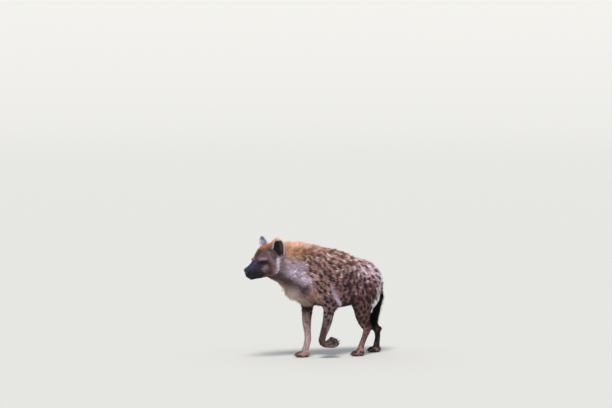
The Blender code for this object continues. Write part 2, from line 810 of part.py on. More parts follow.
FORE_WEDGE = Wedge(
    ((-0.16, -0.10), (0.26, -0.10), (0.22, 0.43), (0.10, 0.56), (-0.06, 0.60), (-0.15, 0.50)),
    0.30,
    0.34,
)
HIND_WEDGE = Wedge(
    ((0.28, -0.10), (0.86, -0.10), (0.66, 0.44), (0.56, 0.58), (0.46, 0.61), (0.35, 0.52), (0.28, 0.36)),
    0.36,
    0.26,
)
TAIL_CUT = ((0.50, 0.10), (0.70, 0.10), (0.68, 0.535), (0.585, 0.480), (0.54, 0.40))
TAIL_CUT_HALF_WIDTH = 0.044


def wedge_block(wedge, side, gap=0.0):
    corners = []
    for x, z in inset([Vector(corner) for corner in wedge.outline], gap):
        inner = max(0.012, 0.02 + (z - wedge.inner_height) * wedge.slope) + gap
        corners += [(x, side * inner, z), (x, side * 0.5, z)]
    return block("wedge", corners)


def tail_block(gap=0.0):
    outline = inset([Vector(corner) for corner in TAIL_CUT], gap)
    half = TAIL_CUT_HALF_WIDTH - gap
    return block("tail_block", [(x, y, z) for x, z in outline for y in (-half, half)])


def ear_box(side, gap=0.0):
    """A box beyond the seam between an ear and the head."""
    ahead, aside, above = EAR_SEAM
    normal = head_way(ahead, aside * side, above)
    ahead, aside, above = EAR_SEAM_PLACE
    point = in_head(ahead, aside * side, above)
    return half_space("ear_box", point, normal, gap=gap, size=0.22)


def part_off(flesh, name, cutter, rest_cutter):
    """Takes what lies inside the first cutter out of the flesh as a new object,
    and leaves what lies outside the second, which is larger by the gap."""
    piece = combine(copy_of(flesh, name), cutter, "INTERSECT", "EXACT")
    combine(flesh, rest_cutter, "DIFFERENCE", "EXACT")
    discard(cutter, rest_cutter)
    keep_largest(piece)
    keep_largest(flesh)
    return piece


def part_by_plane(flesh, name, point, normal, size=3.0):
    """Takes what lies on the normal's side of a plane."""
    cutter = half_space("ahead", point, normal, gap=GAP, size=size)
    return part_off(flesh, name, cutter, half_space("rest", point, normal, size=size))


class Seam(NamedTuple):
    """A flat cut: a point on it, the way it faces and the size of the cutting box."""

    point: tuple
    normal: tuple
    size: float


PAW_SEAMS = {
    "left_fore": Seam((0.050, -0.120, 0.112), (1, 0, 0.15), 0.14),
    "right_fore": Seam((-0.008, 0.073, 0.078), (0.10, 0, -1), 1.0),
    "left_hind": Seam((0.380, -0.094, 0.070), (0.10, 0, -1), 1.0),
    "right_hind": Seam((0.660, 0.085, 0.070), (0.10, 0, -1), 1.0),
}
HEAD_SEAM = Seam((-0.326, -0.012, 0.740), (-0.99, -0.10, 0.09), 0.5)
NECK_SEAM = Seam((-0.120, 0, 0.660), (-0.90, 0, 0.44), 1.0)


def part_legs(flesh):
    """Takes the four legs off the trunk, and the paws off the legs."""
    made = []
    for side, left_right in ((-1, "left"), (1, "right")):
        for wedge, fore_hind in ((FORE_WEDGE, "fore"), (HIND_WEDGE, "hind")):
            cutters = wedge_block(wedge, side, GAP), wedge_block(wedge, side)
            leg = part_off(flesh, f"{fore_hind}leg_{left_right}", *cutters)
            seam = PAW_SEAMS[f"{left_right}_{fore_hind}"]
            made += [leg, part_by_plane(leg, f"{fore_hind}paw_{left_right}", *seam)]
    return made


def part_body(flesh):
    """Parts the whole animal. What is left of the flesh at the end is its torso."""
    made = [part_off(flesh, "tail", tail_block(GAP), tail_block())]
    made += part_legs(flesh)
    for side, name in ((-1, "ear_left"), (1, "ear_right")):
        made.append(part_off(flesh, name, ear_box(side, GAP), ear_box(side)))
    made.append(part_by_plane(flesh, "head", *HEAD_SEAM))
    made.append(part_by_plane(flesh, "neck", *NECK_SEAM))
    flesh.name = "torso"
    return [*made, flesh]


def colour(obj, name, rgb, roughness=0.8):
    material = bpy.data.materials.get(name)
    if material is None:
        material = bpy.data.materials.new(name)
        material.use_nodes = True
        shader = material.node_tree.nodes["Principled BSDF"]
        shader.inputs["Base Color"].default_value = (*rgb, 1)
        shader.inputs["Roughness"].default_value = roughness
    obj.data.materials.clear()
    obj.data.materials.append(material)
    for polygon in obj.data.polygons:
        polygon.use_smooth = True


def near_face_or_paw(points):
    ahead = (points - np.array(HEAD_PIVOT)) @ np.array(head_way(1, 0, 0))
    chosen = ahead > -0.05
    for paw in PAWS:
        centre = np.array(paw_frame(paw) @ Vector((0.02, 0, 0)))
        chosen |= np.linalg.norm(points - centre, axis=1) < 0.07
    return chosen


BODY_TRIANGLES = 3150
FACE_AND_PAW_TRIANGLES = 2650
COAT = (0.42, 0.31, 0.24)
DARK = (0.05, 0.035, 0.03)
COLOURS = {
    "head": ("face", (0.24, 0.16, 0.13)),
    "ear": ("ear", (0.10, 0.07, 0.06)),
    "eye": ("eye", (0.01, 0.008, 0.006)),
    "tail": ("brush", DARK),
    "forepaw": ("paw", (0.12, 0.08, 0.06)),
    "hindpaw": ("paw", (0.12, 0.08, 0.06)),
}


def settle(nodes):
    """Moves everything so that the middle of its underside is the origin."""
    bpy.context.view_layer.update()
    corners = np.array([v.co for node in nodes for v in node.data.vertices])
    low, high = corners.min(axis=0), corners.max(axis=0)
    for node in nodes:
        node.location = (-(low[0] + high[0]) / 2, -(low[1] + high[1]) / 2, -low[2])


def main():
    clear_scene()
    rng = random.Random(11)
    flesh = make_flesh()
    slim(flesh, lambda points: ~near_face_or_paw(points), BODY_TRIANGLES)
    slim(flesh, near_face_or_paw, FACE_AND_PAW_TRIANGLES)
    join_pieces(flesh, [ear_shell(-1), ear_shell(1)])
    face_details(flesh)
    join_pieces(flesh, [*mane_locks(flesh, rng), *brush_locks(rng)])
    join_pieces(flesh, [claw for paw in PAWS for claw in claws(paw)])
    floor = half_space("floor", (0, 0, SOLE), (0, 0, -1))
    combine(flesh, floor, "DIFFERENCE")
    discard(floor)
    keep_largest(flesh)
    nodes = part_body(flesh)
    for side, name in ((-1, "eye_left"), (1, "eye_right")):
        nodes.append(sphere(name, eye_centre(side), EYE_RADIUS))
    for node in nodes:
        rgb_name, rgb = COLOURS.get(node.name.split("_")[0], ("coat", COAT))
        colour(node, rgb_name, rgb, 0.15 if rgb_name == "eye" else 0.85)
    settle(nodes)


if __name__ == "__main__":
    main()
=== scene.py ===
# %% [markdown]
# # A spotted hyena, dressed over its solids
#
# The animal walks to -X with its left side to -Y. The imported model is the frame:
# it fixes the size and the place of everything below. This script puts a living
# surface over it: one skin from nose to tail, eyes with lids, claws, and a coat of
# some hundred thousand small tufts, each a closed tapered blade.
#
# The same rounded sections that shaped the solids shape the skin, only finer, so
# the two agree. Everything is worked out in the body's own frame, in which the
# planted forepaw is near x = 0, and is carried to the shared frame at the end.

# %% Load the frame
import math
from typing import NamedTuple

import bmesh
import bpy
import numpy as np
from mathutils import Matrix, Vector
from mathutils.bvhtree import BVHTree
from mathutils.kdtree import KDTree


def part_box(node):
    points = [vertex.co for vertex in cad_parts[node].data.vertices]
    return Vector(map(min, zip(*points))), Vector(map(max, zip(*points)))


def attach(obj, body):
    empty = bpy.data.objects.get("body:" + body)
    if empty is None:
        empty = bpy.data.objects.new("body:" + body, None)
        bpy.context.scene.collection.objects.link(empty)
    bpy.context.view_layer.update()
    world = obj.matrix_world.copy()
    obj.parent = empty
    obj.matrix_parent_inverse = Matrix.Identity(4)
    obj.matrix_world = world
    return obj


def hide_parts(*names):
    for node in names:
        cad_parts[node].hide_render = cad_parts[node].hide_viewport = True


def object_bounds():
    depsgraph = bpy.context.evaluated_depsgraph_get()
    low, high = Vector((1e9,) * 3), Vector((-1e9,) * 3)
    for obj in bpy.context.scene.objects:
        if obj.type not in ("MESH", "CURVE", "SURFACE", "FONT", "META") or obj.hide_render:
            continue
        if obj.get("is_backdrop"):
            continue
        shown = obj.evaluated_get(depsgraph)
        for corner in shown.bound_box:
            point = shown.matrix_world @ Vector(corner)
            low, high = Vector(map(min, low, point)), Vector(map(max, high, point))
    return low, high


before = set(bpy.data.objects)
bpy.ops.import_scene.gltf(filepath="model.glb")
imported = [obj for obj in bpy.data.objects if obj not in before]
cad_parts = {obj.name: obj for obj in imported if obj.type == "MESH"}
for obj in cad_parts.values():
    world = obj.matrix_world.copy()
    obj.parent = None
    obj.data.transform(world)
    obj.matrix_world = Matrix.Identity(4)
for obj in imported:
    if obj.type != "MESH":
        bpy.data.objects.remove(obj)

solid_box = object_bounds()
print("solids reach from", [round(v, 3) for v in solid_box[0]], "to", [round(v, 3) for v in solid_box[1]])

# %% [markdown]
# ## Lofts and balls
#
# A limb is a row of sections, each wider to the side than to the front or the
# reverse. A smooth curve through them gives a tube, and a muscle is a stretched
# ball. They pass through one another freely, because they are fused later.

# %% A section of a limb, and small helpers
class Station(NamedTuple):
    """One cross-section of a loft: its centre and how far it reaches from there."""

    place: tuple
    side: float
    front: float
    back: float


UP = Vector((0, 0, 1))
AHEAD = Vector((-1, 0, 0))
SIDES = (-1, 1)  # left and right
CAP_ANGLES = (22, 45, 66)  # degrees over a rounded end, where its rings lie


def smooth_rows(rows, steps):
    """The rows joined by a Catmull-Rom curve, with this many steps a span."""
    padded = np.vstack([2 * rows[0] - rows[1], rows, 2 * rows[-1] - rows[-2]])
    made = []
    for a, b, c, d in zip(padded, padded[1:], padded[2:], padded[3:]):
        for t in np.arange(steps) / steps:
            made.append(
                b
                + 0.5 * t * (c - a)
                + t * t * (a - 2.5 * b + 2 * c - 0.5 * d)
                + t**3 * (1.5 * (b - c) + 0.5 * (d - a))
            )
    return np.array([*made, rows[-1]])


def add_rings(bm, rings, tip_a, tip_b):
    """Skins a list of rings of points, closed by a point at each end."""
    grid = [[bm.verts.new(p) for p in ring] for ring in rings]
    count = len(grid[0])
    for low, high in zip(grid, grid[1:]):
        for i in range(count):
            j = (i + 1) % count
            bm.faces.new((low[i], low[j], high[j], high[i]))
    for ring, tip in ((grid[0][::-1], tip_a), (grid[-1], tip_b)):
        end = bm.verts.new(tip)
        for i in range(count):
            bm.faces.new((ring[i], ring[(i + 1) % count], end))


def tube(bm, stations, front, sides=28, steps=5, power=2.1, roundness=0.6):
    """A limb lofted through its stations, with rounded ends. front says which way
    their front faces, and a power over 2 makes the cross-sections squarer."""
    rows = np.array([[*s.place, s.side, s.front, s.back] for s in stations], float)
    rows = smooth_rows(rows, steps)
    centre = rows[:, :3]
    along = np.gradient(centre, axis=0)
    along /= np.linalg.norm(along, axis=1)[:, None]
    aside = np.cross(along, np.array(front, float))
    aside /= np.linalg.norm(aside, axis=1)[:, None]
    ahead = np.cross(aside, along)
    turn = np.linspace(0, 2 * math.pi, sides, endpoint=False)
    across = np.sign(np.cos(turn)) * np.abs(np.cos(turn)) ** (2 / power)
    height = np.sign(np.sin(turn)) * np.abs(np.sin(turn)) ** (2 / power)

    def ring(i, shrink, shift):
        reach = np.where(height > 0, rows[i, 4], rows[i, 5])
        return (
            centre[i]
            + along[i] * shift
            + np.outer(across * rows[i, 3] * shrink, aside[i])
            + np.outer(height * reach * shrink, ahead[i])
        )

    rings = [ring(i, 1, 0) for i in range(len(rows))]
    tips = []
    for i, way in ((0, -1), (len(rows) - 1, 1)):
        depth = roundness * rows[i, 3:].mean()
        cap = [ring(i, math.cos(a), way * depth * math.sin(a)) for a in np.radians(CAP_ANGLES)]
        tips.append(centre[i] + along[i] * way * depth)
        rings = [*cap[::-1], *rings] if way < 0 else [*rings, *cap]
    add_rings(bm, rings, *tips)


def ball(bm, place, radii, tilt=0.0):
    """An ellipsoid, tilted about Y."""
    matrix = Matrix.Translation(place) @ Matrix.Rotation(tilt, 4, "Y") @ Matrix.Diagonal((*radii, 1))
    bmesh.ops.create_icosphere(bm, subdivisions=4, radius=1, matrix=matrix)


def add_moved(bm, own, matrix):
    """Moves one bmesh by a matrix and adds it to another."""
    own.transform(matrix)
    mesh = bpy.data.meshes.new("moved")
    own.to_mesh(mesh)
    own.free()
    bm.from_mesh(mesh)
    bpy.data.meshes.remove(mesh)


print("lofts and balls are ready")

# %% Objects, modifiers and Booleans
def placed(name, data):
    """An object with this data, linked to the scene."""
    obj = bpy.data.objects.new(name, data)
    bpy.context.scene.collection.objects.link(obj)
    return obj


def new_object(name, bm):
    """Turns a bmesh into an object whose faces point out."""
    bmesh.ops.recalc_face_normals(bm, faces=bm.faces)
    if bm.calc_volume(signed=True) < 0:
        bmesh.ops.reverse_faces(bm, faces=bm.faces)
    mesh = bpy.data.meshes.new(name)
    bm.to_mesh(mesh)
    bm.free()
    return placed(name, mesh)


def apply_modifiers(obj):
    bpy.context.view_layer.update()
    graph = bpy.context.evaluated_depsgraph_get()
    mesh = bpy.data.meshes.new_from_object(obj.evaluated_get(graph))
    obj.modifiers.clear()
    old = obj.data
    obj.data = mesh
    bpy.data.meshes.remove(old)
    return obj


def fuse(obj, voxel):
    """One closed surface round every piece of the mesh."""
    remesh = obj.modifiers.new("Fuse", "REMESH")
    remesh.mode = "VOXEL"
    remesh.voxel_size = voxel
    remesh.adaptivity = 0
    return apply_modifiers(obj)


def points_of(obj):
    points = np.empty(len(obj.data.vertices) * 3)
    obj.data.vertices.foreach_get("co", points)
    return points.reshape(-1, 3)


def set_points(obj, points):
    obj.data.vertices.foreach_set("co", points.ravel())
    obj.data.update()


def normals_of(obj):
    normals = np.empty(len(obj.data.vertices) * 3)
    obj.data.vertex_normals.foreach_get("vector", normals)
    return normals.reshape(-1, 3)


SOFT_LEVELS = 16  # the shares that a vertex group tells apart


def soften(obj, passes, share):
    """Smooths the mesh. share(points) gives each vertex's share, from 0 to 1."""
    shares = share(points_of(obj))
    group = obj.vertex_groups.new(name="Soften")
    steps = np.round(np.clip(shares, 0, 1) * SOFT_LEVELS).astype(int)
    for level in range(1, SOFT_LEVELS + 1):
        chosen = np.nonzero(steps == level)[0].tolist()
        if chosen:
            group.add(chosen, level / SOFT_LEVELS, "REPLACE")
    smooth = obj.modifiers.new("Soften", "SMOOTH")
    smooth.factor = 0.5
    smooth.iterations = passes
    smooth.vertex_group = group.name
    apply_modifiers(obj)
    obj.vertex_groups.clear()
    return obj


def combine(obj, others, operation):
    """One Boolean after another with closed objects, which are then removed."""
    for other in others:
        modifier = obj.modifiers.new(operation.title(), "BOOLEAN")
        modifier.operation = operation
        modifier.solver = "MANIFOLD"
        modifier.object = other
        apply_modifiers(obj)
        bpy.data.objects.remove(other)


def ramp(values, low, high):
    """0 below low, 1 above high and smooth between."""
    t = np.clip((values - low) / (high - low), 0, 1)
    return t * t * (3 - 2 * t)


def on_right(points):
    """The points with those on the left mirrored to the right."""
    return points * [1, 0, 1] + np.abs(points) * [0, 1, 0]


def paint(mesh, name, values):
    """Writes a number or a colour for each point of a mesh."""
    kind, field = "FLOAT", "value"
    if values.ndim == 2:
        kind, field = "FLOAT_COLOR", "color"
        values = np.hstack([values, np.ones((len(values), 1))])
    mesh.attributes.new(name, kind, "POINT").data.foreach_set(field, values.ravel())


print("object helpers are ready")

# %% [markdown]
# ## The body's sections
#
# A hyena is built high in front: a deep chest, long strong neck and heavy head, and
# a back that slopes down to weak hindquarters. Each row below is one section, so a
# shoulder is broadened by changing one number. The left forepaw is lifted and
# folded back at the wrist, as in mid-stride.

# %% Trunk, neck and tail
TRUNK = [
    Station((-0.185, 0, 0.540), 0.052, 0.12, 0.085),
    Station((-0.130, 0, 0.560), 0.094, 0.21, 0.140),
    Station((-0.050, 0, 0.575), 0.118, 0.235, 0.172),
    Station((0.060, 0, 0.570), 0.130, 0.245, 0.178),
    Station((0.180, 0, 0.555), 0.137, 0.240, 0.182),
    Station((0.300, 0, 0.550), 0.132, 0.222, 0.175),
    Station((0.400, 0, 0.560), 0.115, 0.186, 0.150),
    Station((0.490, 0, 0.575), 0.104, 0.138, 0.125),
    Station((0.560, 0, 0.570), 0.088, 0.088, 0.105),
    Station((0.600, 0, 0.560), 0.055, 0.055, 0.080),
]
NECK = [
    Station((0.020, 0, 0.640), 0.105, 0.175, 0.170),
    Station((-0.080, 0, 0.660), 0.104, 0.165, 0.160),
    Station((-0.160, -0.001, 0.680), 0.099, 0.150, 0.156),
    Station((-0.240, -0.004, 0.697), 0.090, 0.136, 0.139),
    Station((-0.320, -0.008, 0.715), 0.084, 0.122, 0.119),
    Station((-0.380, -0.011, 0.735), 0.076, 0.104, 0.112),
]
TAIL = [
    Station((0.560, 0, 0.610), 0.026, 0.026, 0.026),
    Station((0.612, 0, 0.570), 0.025, 0.026, 0.026),
    Station((0.624, 0, 0.500), 0.020, 0.020, 0.020),
    Station((0.612, 0, 0.420), 0.015, 0.015, 0.015),
    Station((0.592, 0, 0.340), 0.012, 0.012, 0.012),
    Station((0.572, 0, 0.270), 0.007, 0.007, 0.007),
]


def trunk_pieces(bm):
    tube(bm, TRUNK, UP, sides=48)
    tube(bm, NECK, UP, sides=48)
    tube(bm, TAIL, AHEAD, sides=24)
    for side in SIDES:
        ball(bm, (0.000, 0.080 * side, 0.660), (0.090, 0.045, 0.145), tilt=0.35)
        ball(bm, (-0.095, 0.070 * side, 0.550), (0.065, 0.055, 0.095), tilt=-0.2)
        ball(bm, (0.055, 0.100 * side, 0.500), (0.085, 0.045, 0.085))
        ball(bm, (0.500, 0.062 * side, 0.590), (0.095, 0.052, 0.090), tilt=0.5)


print("the trunk has", len(TRUNK), "sections, the neck", len(NECK), "and the tail", len(TAIL))

# %% Legs
LEFT_FORELEG = [
    Station((-0.060, -0.098, 0.600), 0.050, 0.070, 0.080),
    Station((-0.002, -0.116, 0.500), 0.047, 0.072, 0.082),
    Station((0.066, -0.124, 0.412), 0.042, 0.060, 0.064),
    Station((0.064, -0.125, 0.345), 0.037, 0.047, 0.046),
    Station((0.044, -0.124, 0.255), 0.030, 0.038, 0.036),
    Station((0.018, -0.121, 0.185), 0.025, 0.030, 0.028),
    Station((0.004, -0.120, 0.136), 0.026, 0.028, 0.027),
]
FOLDED_WRIST = [
    Station((0.006, -0.120, 0.128), 0.026, 0.024, 0.025),
    Station((0.036, -0.120, 0.108), 0.026, 0.021, 0.023),
    Station((0.074, -0.119, 0.111), 0.029, 0.020, 0.024),
]
RIGHT_FORELEG = [
    Station((-0.050, 0.096, 0.600), 0.050, 0.070, 0.080),
    Station((-0.012, 0.106, 0.500), 0.046, 0.068, 0.076),
    Station((0.024, 0.099, 0.412), 0.041, 0.056, 0.058),
    Station((0.017, 0.090, 0.345), 0.036, 0.047, 0.046),
    Station((0.011, 0.082, 0.255), 0.029, 0.037, 0.035),
    Station((0.014, 0.077, 0.185), 0.024, 0.028, 0.028),
    Station((0.014, 0.075, 0.140), 0.026, 0.027, 0.028),
    Station((0.001, 0.073, 0.090), 0.027, 0.023, 0.024),
    Station((-0.015, 0.073, 0.045), 0.030, 0.022, 0.026),
]
LEFT_HIND_LEG = [
    Station((0.490, -0.070, 0.600), 0.052, 0.100, 0.080),
    Station((0.446, -0.094, 0.490), 0.054, 0.114, 0.110),
    Station((0.404, -0.100, 0.400), 0.047, 0.090, 0.096),
    Station((0.392, -0.098, 0.330), 0.040, 0.072, 0.072),
    Station((0.410, -0.095, 0.260), 0.030, 0.050, 0.052),
    Station((0.437, -0.093, 0.205), 0.023, 0.034, 0.036),
    Station((0.415, -0.093, 0.145), 0.021, 0.024, 0.023),
    Station((0.389, -0.094, 0.090), 0.023, 0.022, 0.022),
    Station((0.370, -0.094, 0.045), 0.027, 0.022, 0.024),
]
RIGHT_HIND_LEG = [
    Station((0.500, 0.070, 0.600), 0.052, 0.095, 0.080),
    Station((0.500, 0.094, 0.490), 0.054, 0.106, 0.104),
    Station((0.512, 0.100, 0.400), 0.047, 0.086, 0.088),
    Station((0.536, 0.098, 0.330), 0.040, 0.068, 0.066),
    Station((0.596, 0.092, 0.250), 0.030, 0.048, 0.046),
    Station((0.656, 0.088, 0.186), 0.023, 0.034, 0.032),
    Station((0.668, 0.086, 0.134), 0.021, 0.024, 0.022),
    Station((0.662, 0.085, 0.088), 0.023, 0.022, 0.021),
    Station((0.652, 0.085, 0.045), 0.027, 0.022, 0.024),
]
LEGS = [LEFT_FORELEG, RIGHT_FORELEG, LEFT_HIND_LEG, RIGHT_HIND_LEG]


class Paw(NamedTuple):
    """Where a paw is: its knuckles, the way its toes point and its upper side."""

    name: str
    knuckles: tuple
    toes: tuple
    upper: tuple
    width: float
    length: float


PAWS = [
    Paw("forepaw_left", (0.082, -0.119, 0.117), (1, 0, 0.22), (0.22, 0.62, -1), 1.0, 0.95),
    Paw("forepaw_right", (-0.021, 0.073, 0.030), (-1, 0, 0), (0, 0, 1), 1.0, 1.0),
    Paw("hindpaw_left", (0.366, -0.094, 0.029), (-1, 0, 0), (0, 0, 1), 0.88, 0.92),
    Paw("hindpaw_right", (0.648, 0.085, 0.029), (-1, 0, 0), (0, 0, 1), 0.88, 0.92),
]
TOE_ASIDE = (-0.034, -0.0115, 0.0115, 0.034)
TOE_REACH = (0.048, 0.064, 0.064, 0.048)


def paw_frame(paw):
    """The matrix that carries a paw's own frame, toes ahead on X, to its place."""
    ahead = Vector(paw.toes).normalized()
    aside = ahead.cross(Vector(paw.upper)).normalized()
    above = aside.cross(ahead)
    turn = Matrix((ahead, aside, above)).transposed().to_4x4()
    return Matrix.Translation(paw.knuckles) @ turn


def paw_pieces(bm, paw):
    """Four arched toes over their pads, and the large pad behind them."""
    own = bmesh.new()
    for aside, reach in zip(TOE_ASIDE, TOE_REACH):
        aside, reach = aside * paw.width, reach * paw.length
        toe = [
            Station((-0.026, aside * 0.55, 0.004), 0.013, 0.014, 0.020),
            Station((0.004, aside * 0.85, 0.006), 0.0135, 0.014, 0.020),
            Station((0.55 * reach, aside, 0.003), 0.0125, 0.014, 0.019),
            Station((reach, aside * 1.04, -0.008), 0.0115, 0.012, 0.012),
        ]
        tube(own, toe, (0, 0, 1), sides=24, steps=4)
        ball(own, (0.68 * reach, aside, -0.015), (0.017, 0.0115, 0.012))
    ball(own, (-0.006, 0, -0.010), (0.032, 0.031 * paw.width, 0.017))
    add_moved(bm, own, paw_frame(paw))


def leg_pieces(bm):
    for leg in LEGS:
        tube(bm, leg, AHEAD, sides=32)
    tube(bm, FOLDED_WRIST, -UP, sides=32)
    ball(bm, (0.124, -0.126, 0.420), (0.046, 0.026, 0.036), tilt=0.3)
    ball(bm, (0.078, 0.104, 0.412), (0.038, 0.026, 0.034), tilt=0.3)
    ball(bm, (0.467, -0.093, 0.212), (0.020, 0.015, 0.022), tilt=-0.5)
    ball(bm, (0.688, 0.088, 0.182), (0.020, 0.015, 0.022), tilt=-0.3)
    for paw in PAWS:
        paw_pieces(bm, paw)


print("the legs have", sum(map(len, LEGS)), "sections, and", len(PAWS), "paws")

# %% [markdown]
# ## The head's sections
#
# The head has a frame of its own, with the pivot between the ears and the jaw
# joints. It is pitched down and turned a little to the animal's right, as in the
# photograph. The muzzle is short, deep and blunt, and the brow hardly steps down to
# it.

# %% Head
HEAD_PIVOT = Vector((-0.395, -0.012, 0.752))
HEAD_PITCH = math.radians(17)
HEAD_YAW = math.radians(8)
SKULL = [
    Station((-0.075, 0, -0.012), 0.074, 0.098, 0.096),
    Station((-0.030, 0, -0.006), 0.082, 0.114, 0.114),
    Station((0.020, 0, -0.004), 0.084, 0.116, 0.118),
    Station((0.065, 0, -0.008), 0.077, 0.099, 0.110),
    Station((0.100, 0, -0.014), 0.060, 0.076, 0.094),
    Station((0.140, 0, -0.019), 0.050, 0.060, 0.080),
    Station((0.180, 0, -0.021), 0.046, 0.048, 0.064),
    Station((0.215, 0, -0.015), 0.041, 0.036, 0.051),
]


def head_matrix():
    turn = Matrix.Rotation(HEAD_YAW, 4, "Z") @ Matrix.Rotation(-HEAD_PITCH, 4, "Y")
    return Matrix.Translation(HEAD_PIVOT) @ turn


def in_head(ahead, aside, above):
    """A place in the head's own frame, in the frame of the whole body."""
    return head_matrix() @ Vector((-ahead, aside, above))


def head_way(ahead, aside, above):
    return (in_head(ahead, aside, above) - HEAD_PIVOT).normalized()


def head_places(points):
    """The points as ahead, aside and above in the head's own frame."""
    turn = np.array(head_matrix().to_3x3())
    places = (points - np.array(HEAD_PIVOT)) @ turn
    places[:, 0] *= -1
    return places


def head_pieces(bm):
    """The skull, the cheeks, the brows, the lips' pads and the nose."""
    own = bmesh.new()
    skull = [Station((-s.place[0], *s.place[1:]), *s[1:]) for s in SKULL]
    tube(own, skull, UP, sides=48, power=2.35, roundness=0.35)
    for side in SIDES:
        ball(own, (-0.030, 0.062 * side, -0.048), (0.058, 0.030, 0.058))
        ball(own, (-0.094, 0.049 * side, 0.036), (0.032, 0.017, 0.013), tilt=0.3)
        ball(own, (-0.078, 0.049 * side, -0.022), (0.046, 0.021, 0.026))
        ball(own, (-0.165, 0.026 * side, -0.040), (0.050, 0.022, 0.032))
        ball(own, (-0.221, 0.016 * side, -0.002), (0.021, 0.016, 0.018))
    ball(own, (-0.186, 0, -0.069), (0.034, 0.028, 0.017))
    ball(own, (-0.229, 0, -0.004), (0.017, 0.022, 0.020))
    ball(own, (-0.224, 0, -0.029), (0.015, 0.024, 0.022), tilt=-0.35)
    add_moved(bm, own, head_matrix())


print("the head has", len(SKULL), "sections")

# %% [markdown]
# ## One skin
#
# Where two closed lofts meet, a voxel remesh replaces both with one surface, much
# as clay is pressed together. It leaves small steps and hard creases, which passes
# of smoothing take out: many on the trunk, where the muscles lie under thick hide,
# and few on the face and paws, where bone is close to the surface.

# %% Fuse and soften
SKIN_VOXEL = 0.003
SOLID_VOXEL = 0.005  # the solids' grain, at which the passes below were chosen


def passes(count):
    """A finer mesh needs more passes for the same softness."""
    return round(count * (SOLID_VOXEL / SKIN_VOXEL) ** 2)


def trunk_share(points):
    ahead = head_places(points)[:, 0]
    tail = ramp(points[:, 0], 0.57, 0.61) * (1 - ramp(points[:, 2], 0.48, 0.56))
    return ramp(points[:, 2], 0.24, 0.48) * (1 - ramp(ahead, -0.08, 0.0)) * (1 - tail)


def head_share(points):
    ahead = head_places(points)[:, 0]
    return ramp(ahead, -0.09, -0.03) * (1 - ramp(ahead, 0.12, 0.19))


def everywhere(points):
    return np.ones(len(points))


def make_skin():
    bm = bmesh.new()
    trunk_pieces(bm)
    leg_pieces(bm)
    head_pieces(bm)
    skin = fuse(new_object("skin", bm), SKIN_VOXEL)
    soften(skin, passes(160), trunk_share)
    soften(skin, passes(16), head_share)
    soften(skin, passes(5), everywhere)
    return skin


skin = make_skin()
print("the skin has", len(skin.data.polygons), "faces")

# %% [markdown]
# ## Sinking the skin under its coat
#
# The solids reach out to the tips of the lying hair. The skin lies deeper by the
# depth of the coat: most on the trunk, least on the face and the feet.

# %% Coat depth
def near_line(points, line, reach, flat=0.35):
    """1 on a line through the given places, and as far off as the flat share of its
    reach, falling smoothly to 0 at its reach."""
    line = np.array(line, float)
    best = np.full(len(points), np.inf)
    for a, b in zip(line, line[1:]):
        span = b - a
        t = np.clip(((points - a) @ span) / (span @ span), 0, 1)
        best = np.minimum(best, np.linalg.norm(points - a - t[:, None] * span, axis=1))
    return 1 - ramp(best, flat * reach, reach)


PAW_MIDDLE = 0.025  # ahead of its knuckles
PAW_REACH = (0.045, 0.085)
LEG_COAT = 0.0035
TRUNK_COAT_MORE = 0.0035
HEAD_COATS = ((0.0030, -0.10, -0.02), (0.0012, 0.06, 0.16))  # depth, where it starts and is full
FOOT_COAT = 0.0010
BRUSH_CORE = (0.57, 0.55, 0.045)  # behind, below and this near the middle is the brush's core
FLANK = np.array([[0.1, -0.13, 0.55]])


def near_paw(points):
    near = np.zeros(len(points))
    for paw in PAWS:
        centre = np.array(paw_frame(paw) @ Vector((PAW_MIDDLE, 0, 0)))
        near = np.maximum(near, 1 - ramp(np.linalg.norm(points - centre, axis=1), *PAW_REACH))
    return near


def in_core(points, core):
    behind, below, half_width = core
    return (points[:, 0] > behind) & (points[:, 2] < below) & (np.abs(points[:, 1]) < half_width)


def coat_depth(points):
    """How deep the skin lies under the tips of the hair, in metres."""
    ahead = head_places(points)[:, 0]
    depth = LEG_COAT + TRUNK_COAT_MORE * ramp(points[:, 2], 0.20, 0.42)
    for head_coat, start, full in HEAD_COATS:
        depth -= (depth - head_coat) * ramp(ahead, start, full)
    depth -= (depth - FOOT_COAT) * near_paw(points)
    return np.where(in_core(points, BRUSH_CORE), FOOT_COAT, depth)


set_points(skin, points_of(skin) - normals_of(skin) * coat_depth(points_of(skin))[:, None])
print("the skin lies", round(1000 * coat_depth(FLANK)[0], 1), "mm deep on the flank")

# %% Fewer faces where no detail needs them
BODY_TRIANGLES = 37_000
FINE_HEAD = 0.03  # ahead of the head's pivot, where the mesh stays fine


def slim(obj, chosen, triangles):
    """Collapses edges among the vertices that chosen(points) names, until about this
    many of their triangles are left."""
    mask = chosen(points_of(obj))
    obj.data.calc_loop_triangles()
    corners = np.empty(len(obj.data.loop_triangles) * 3, int)
    obj.data.loop_triangles.foreach_get("vertices", corners)
    inside = mask[corners.reshape(-1, 3)].any(axis=1)
    group = obj.vertex_groups.new(name="Chosen")
    group.add(np.nonzero(mask)[0].tolist(), 1.0, "REPLACE")
    decimate = obj.modifiers.new("Slim", "DECIMATE")
    decimate.vertex_group = group.name
    decimate.ratio = (len(inside) - inside.sum() + triangles) / len(inside)
    apply_modifiers(obj)
    obj.vertex_groups.clear()


def under_the_coat(points):
    return (head_places(points)[:, 0] < FINE_HEAD) & (near_paw(points) < 0.05)


slim(skin, under_the_coat, BODY_TRIANGLES)
print("slimmed to", len(skin.data.polygons), "faces")

# %% [markdown]
# ## Ears
#
# A spotted hyena's ears are large and rounded. Each is a cup: crescents stacked up
# its length, thick at the root, with a fine wall. A smooth curve through a few
# levels gives many, so the rim is round.

# %% Ears
class Ear(NamedTuple):
    """One level of an ear: how far up, its half width, cup depth and wall."""

    up: float
    half: float
    cup: float
    wall: float


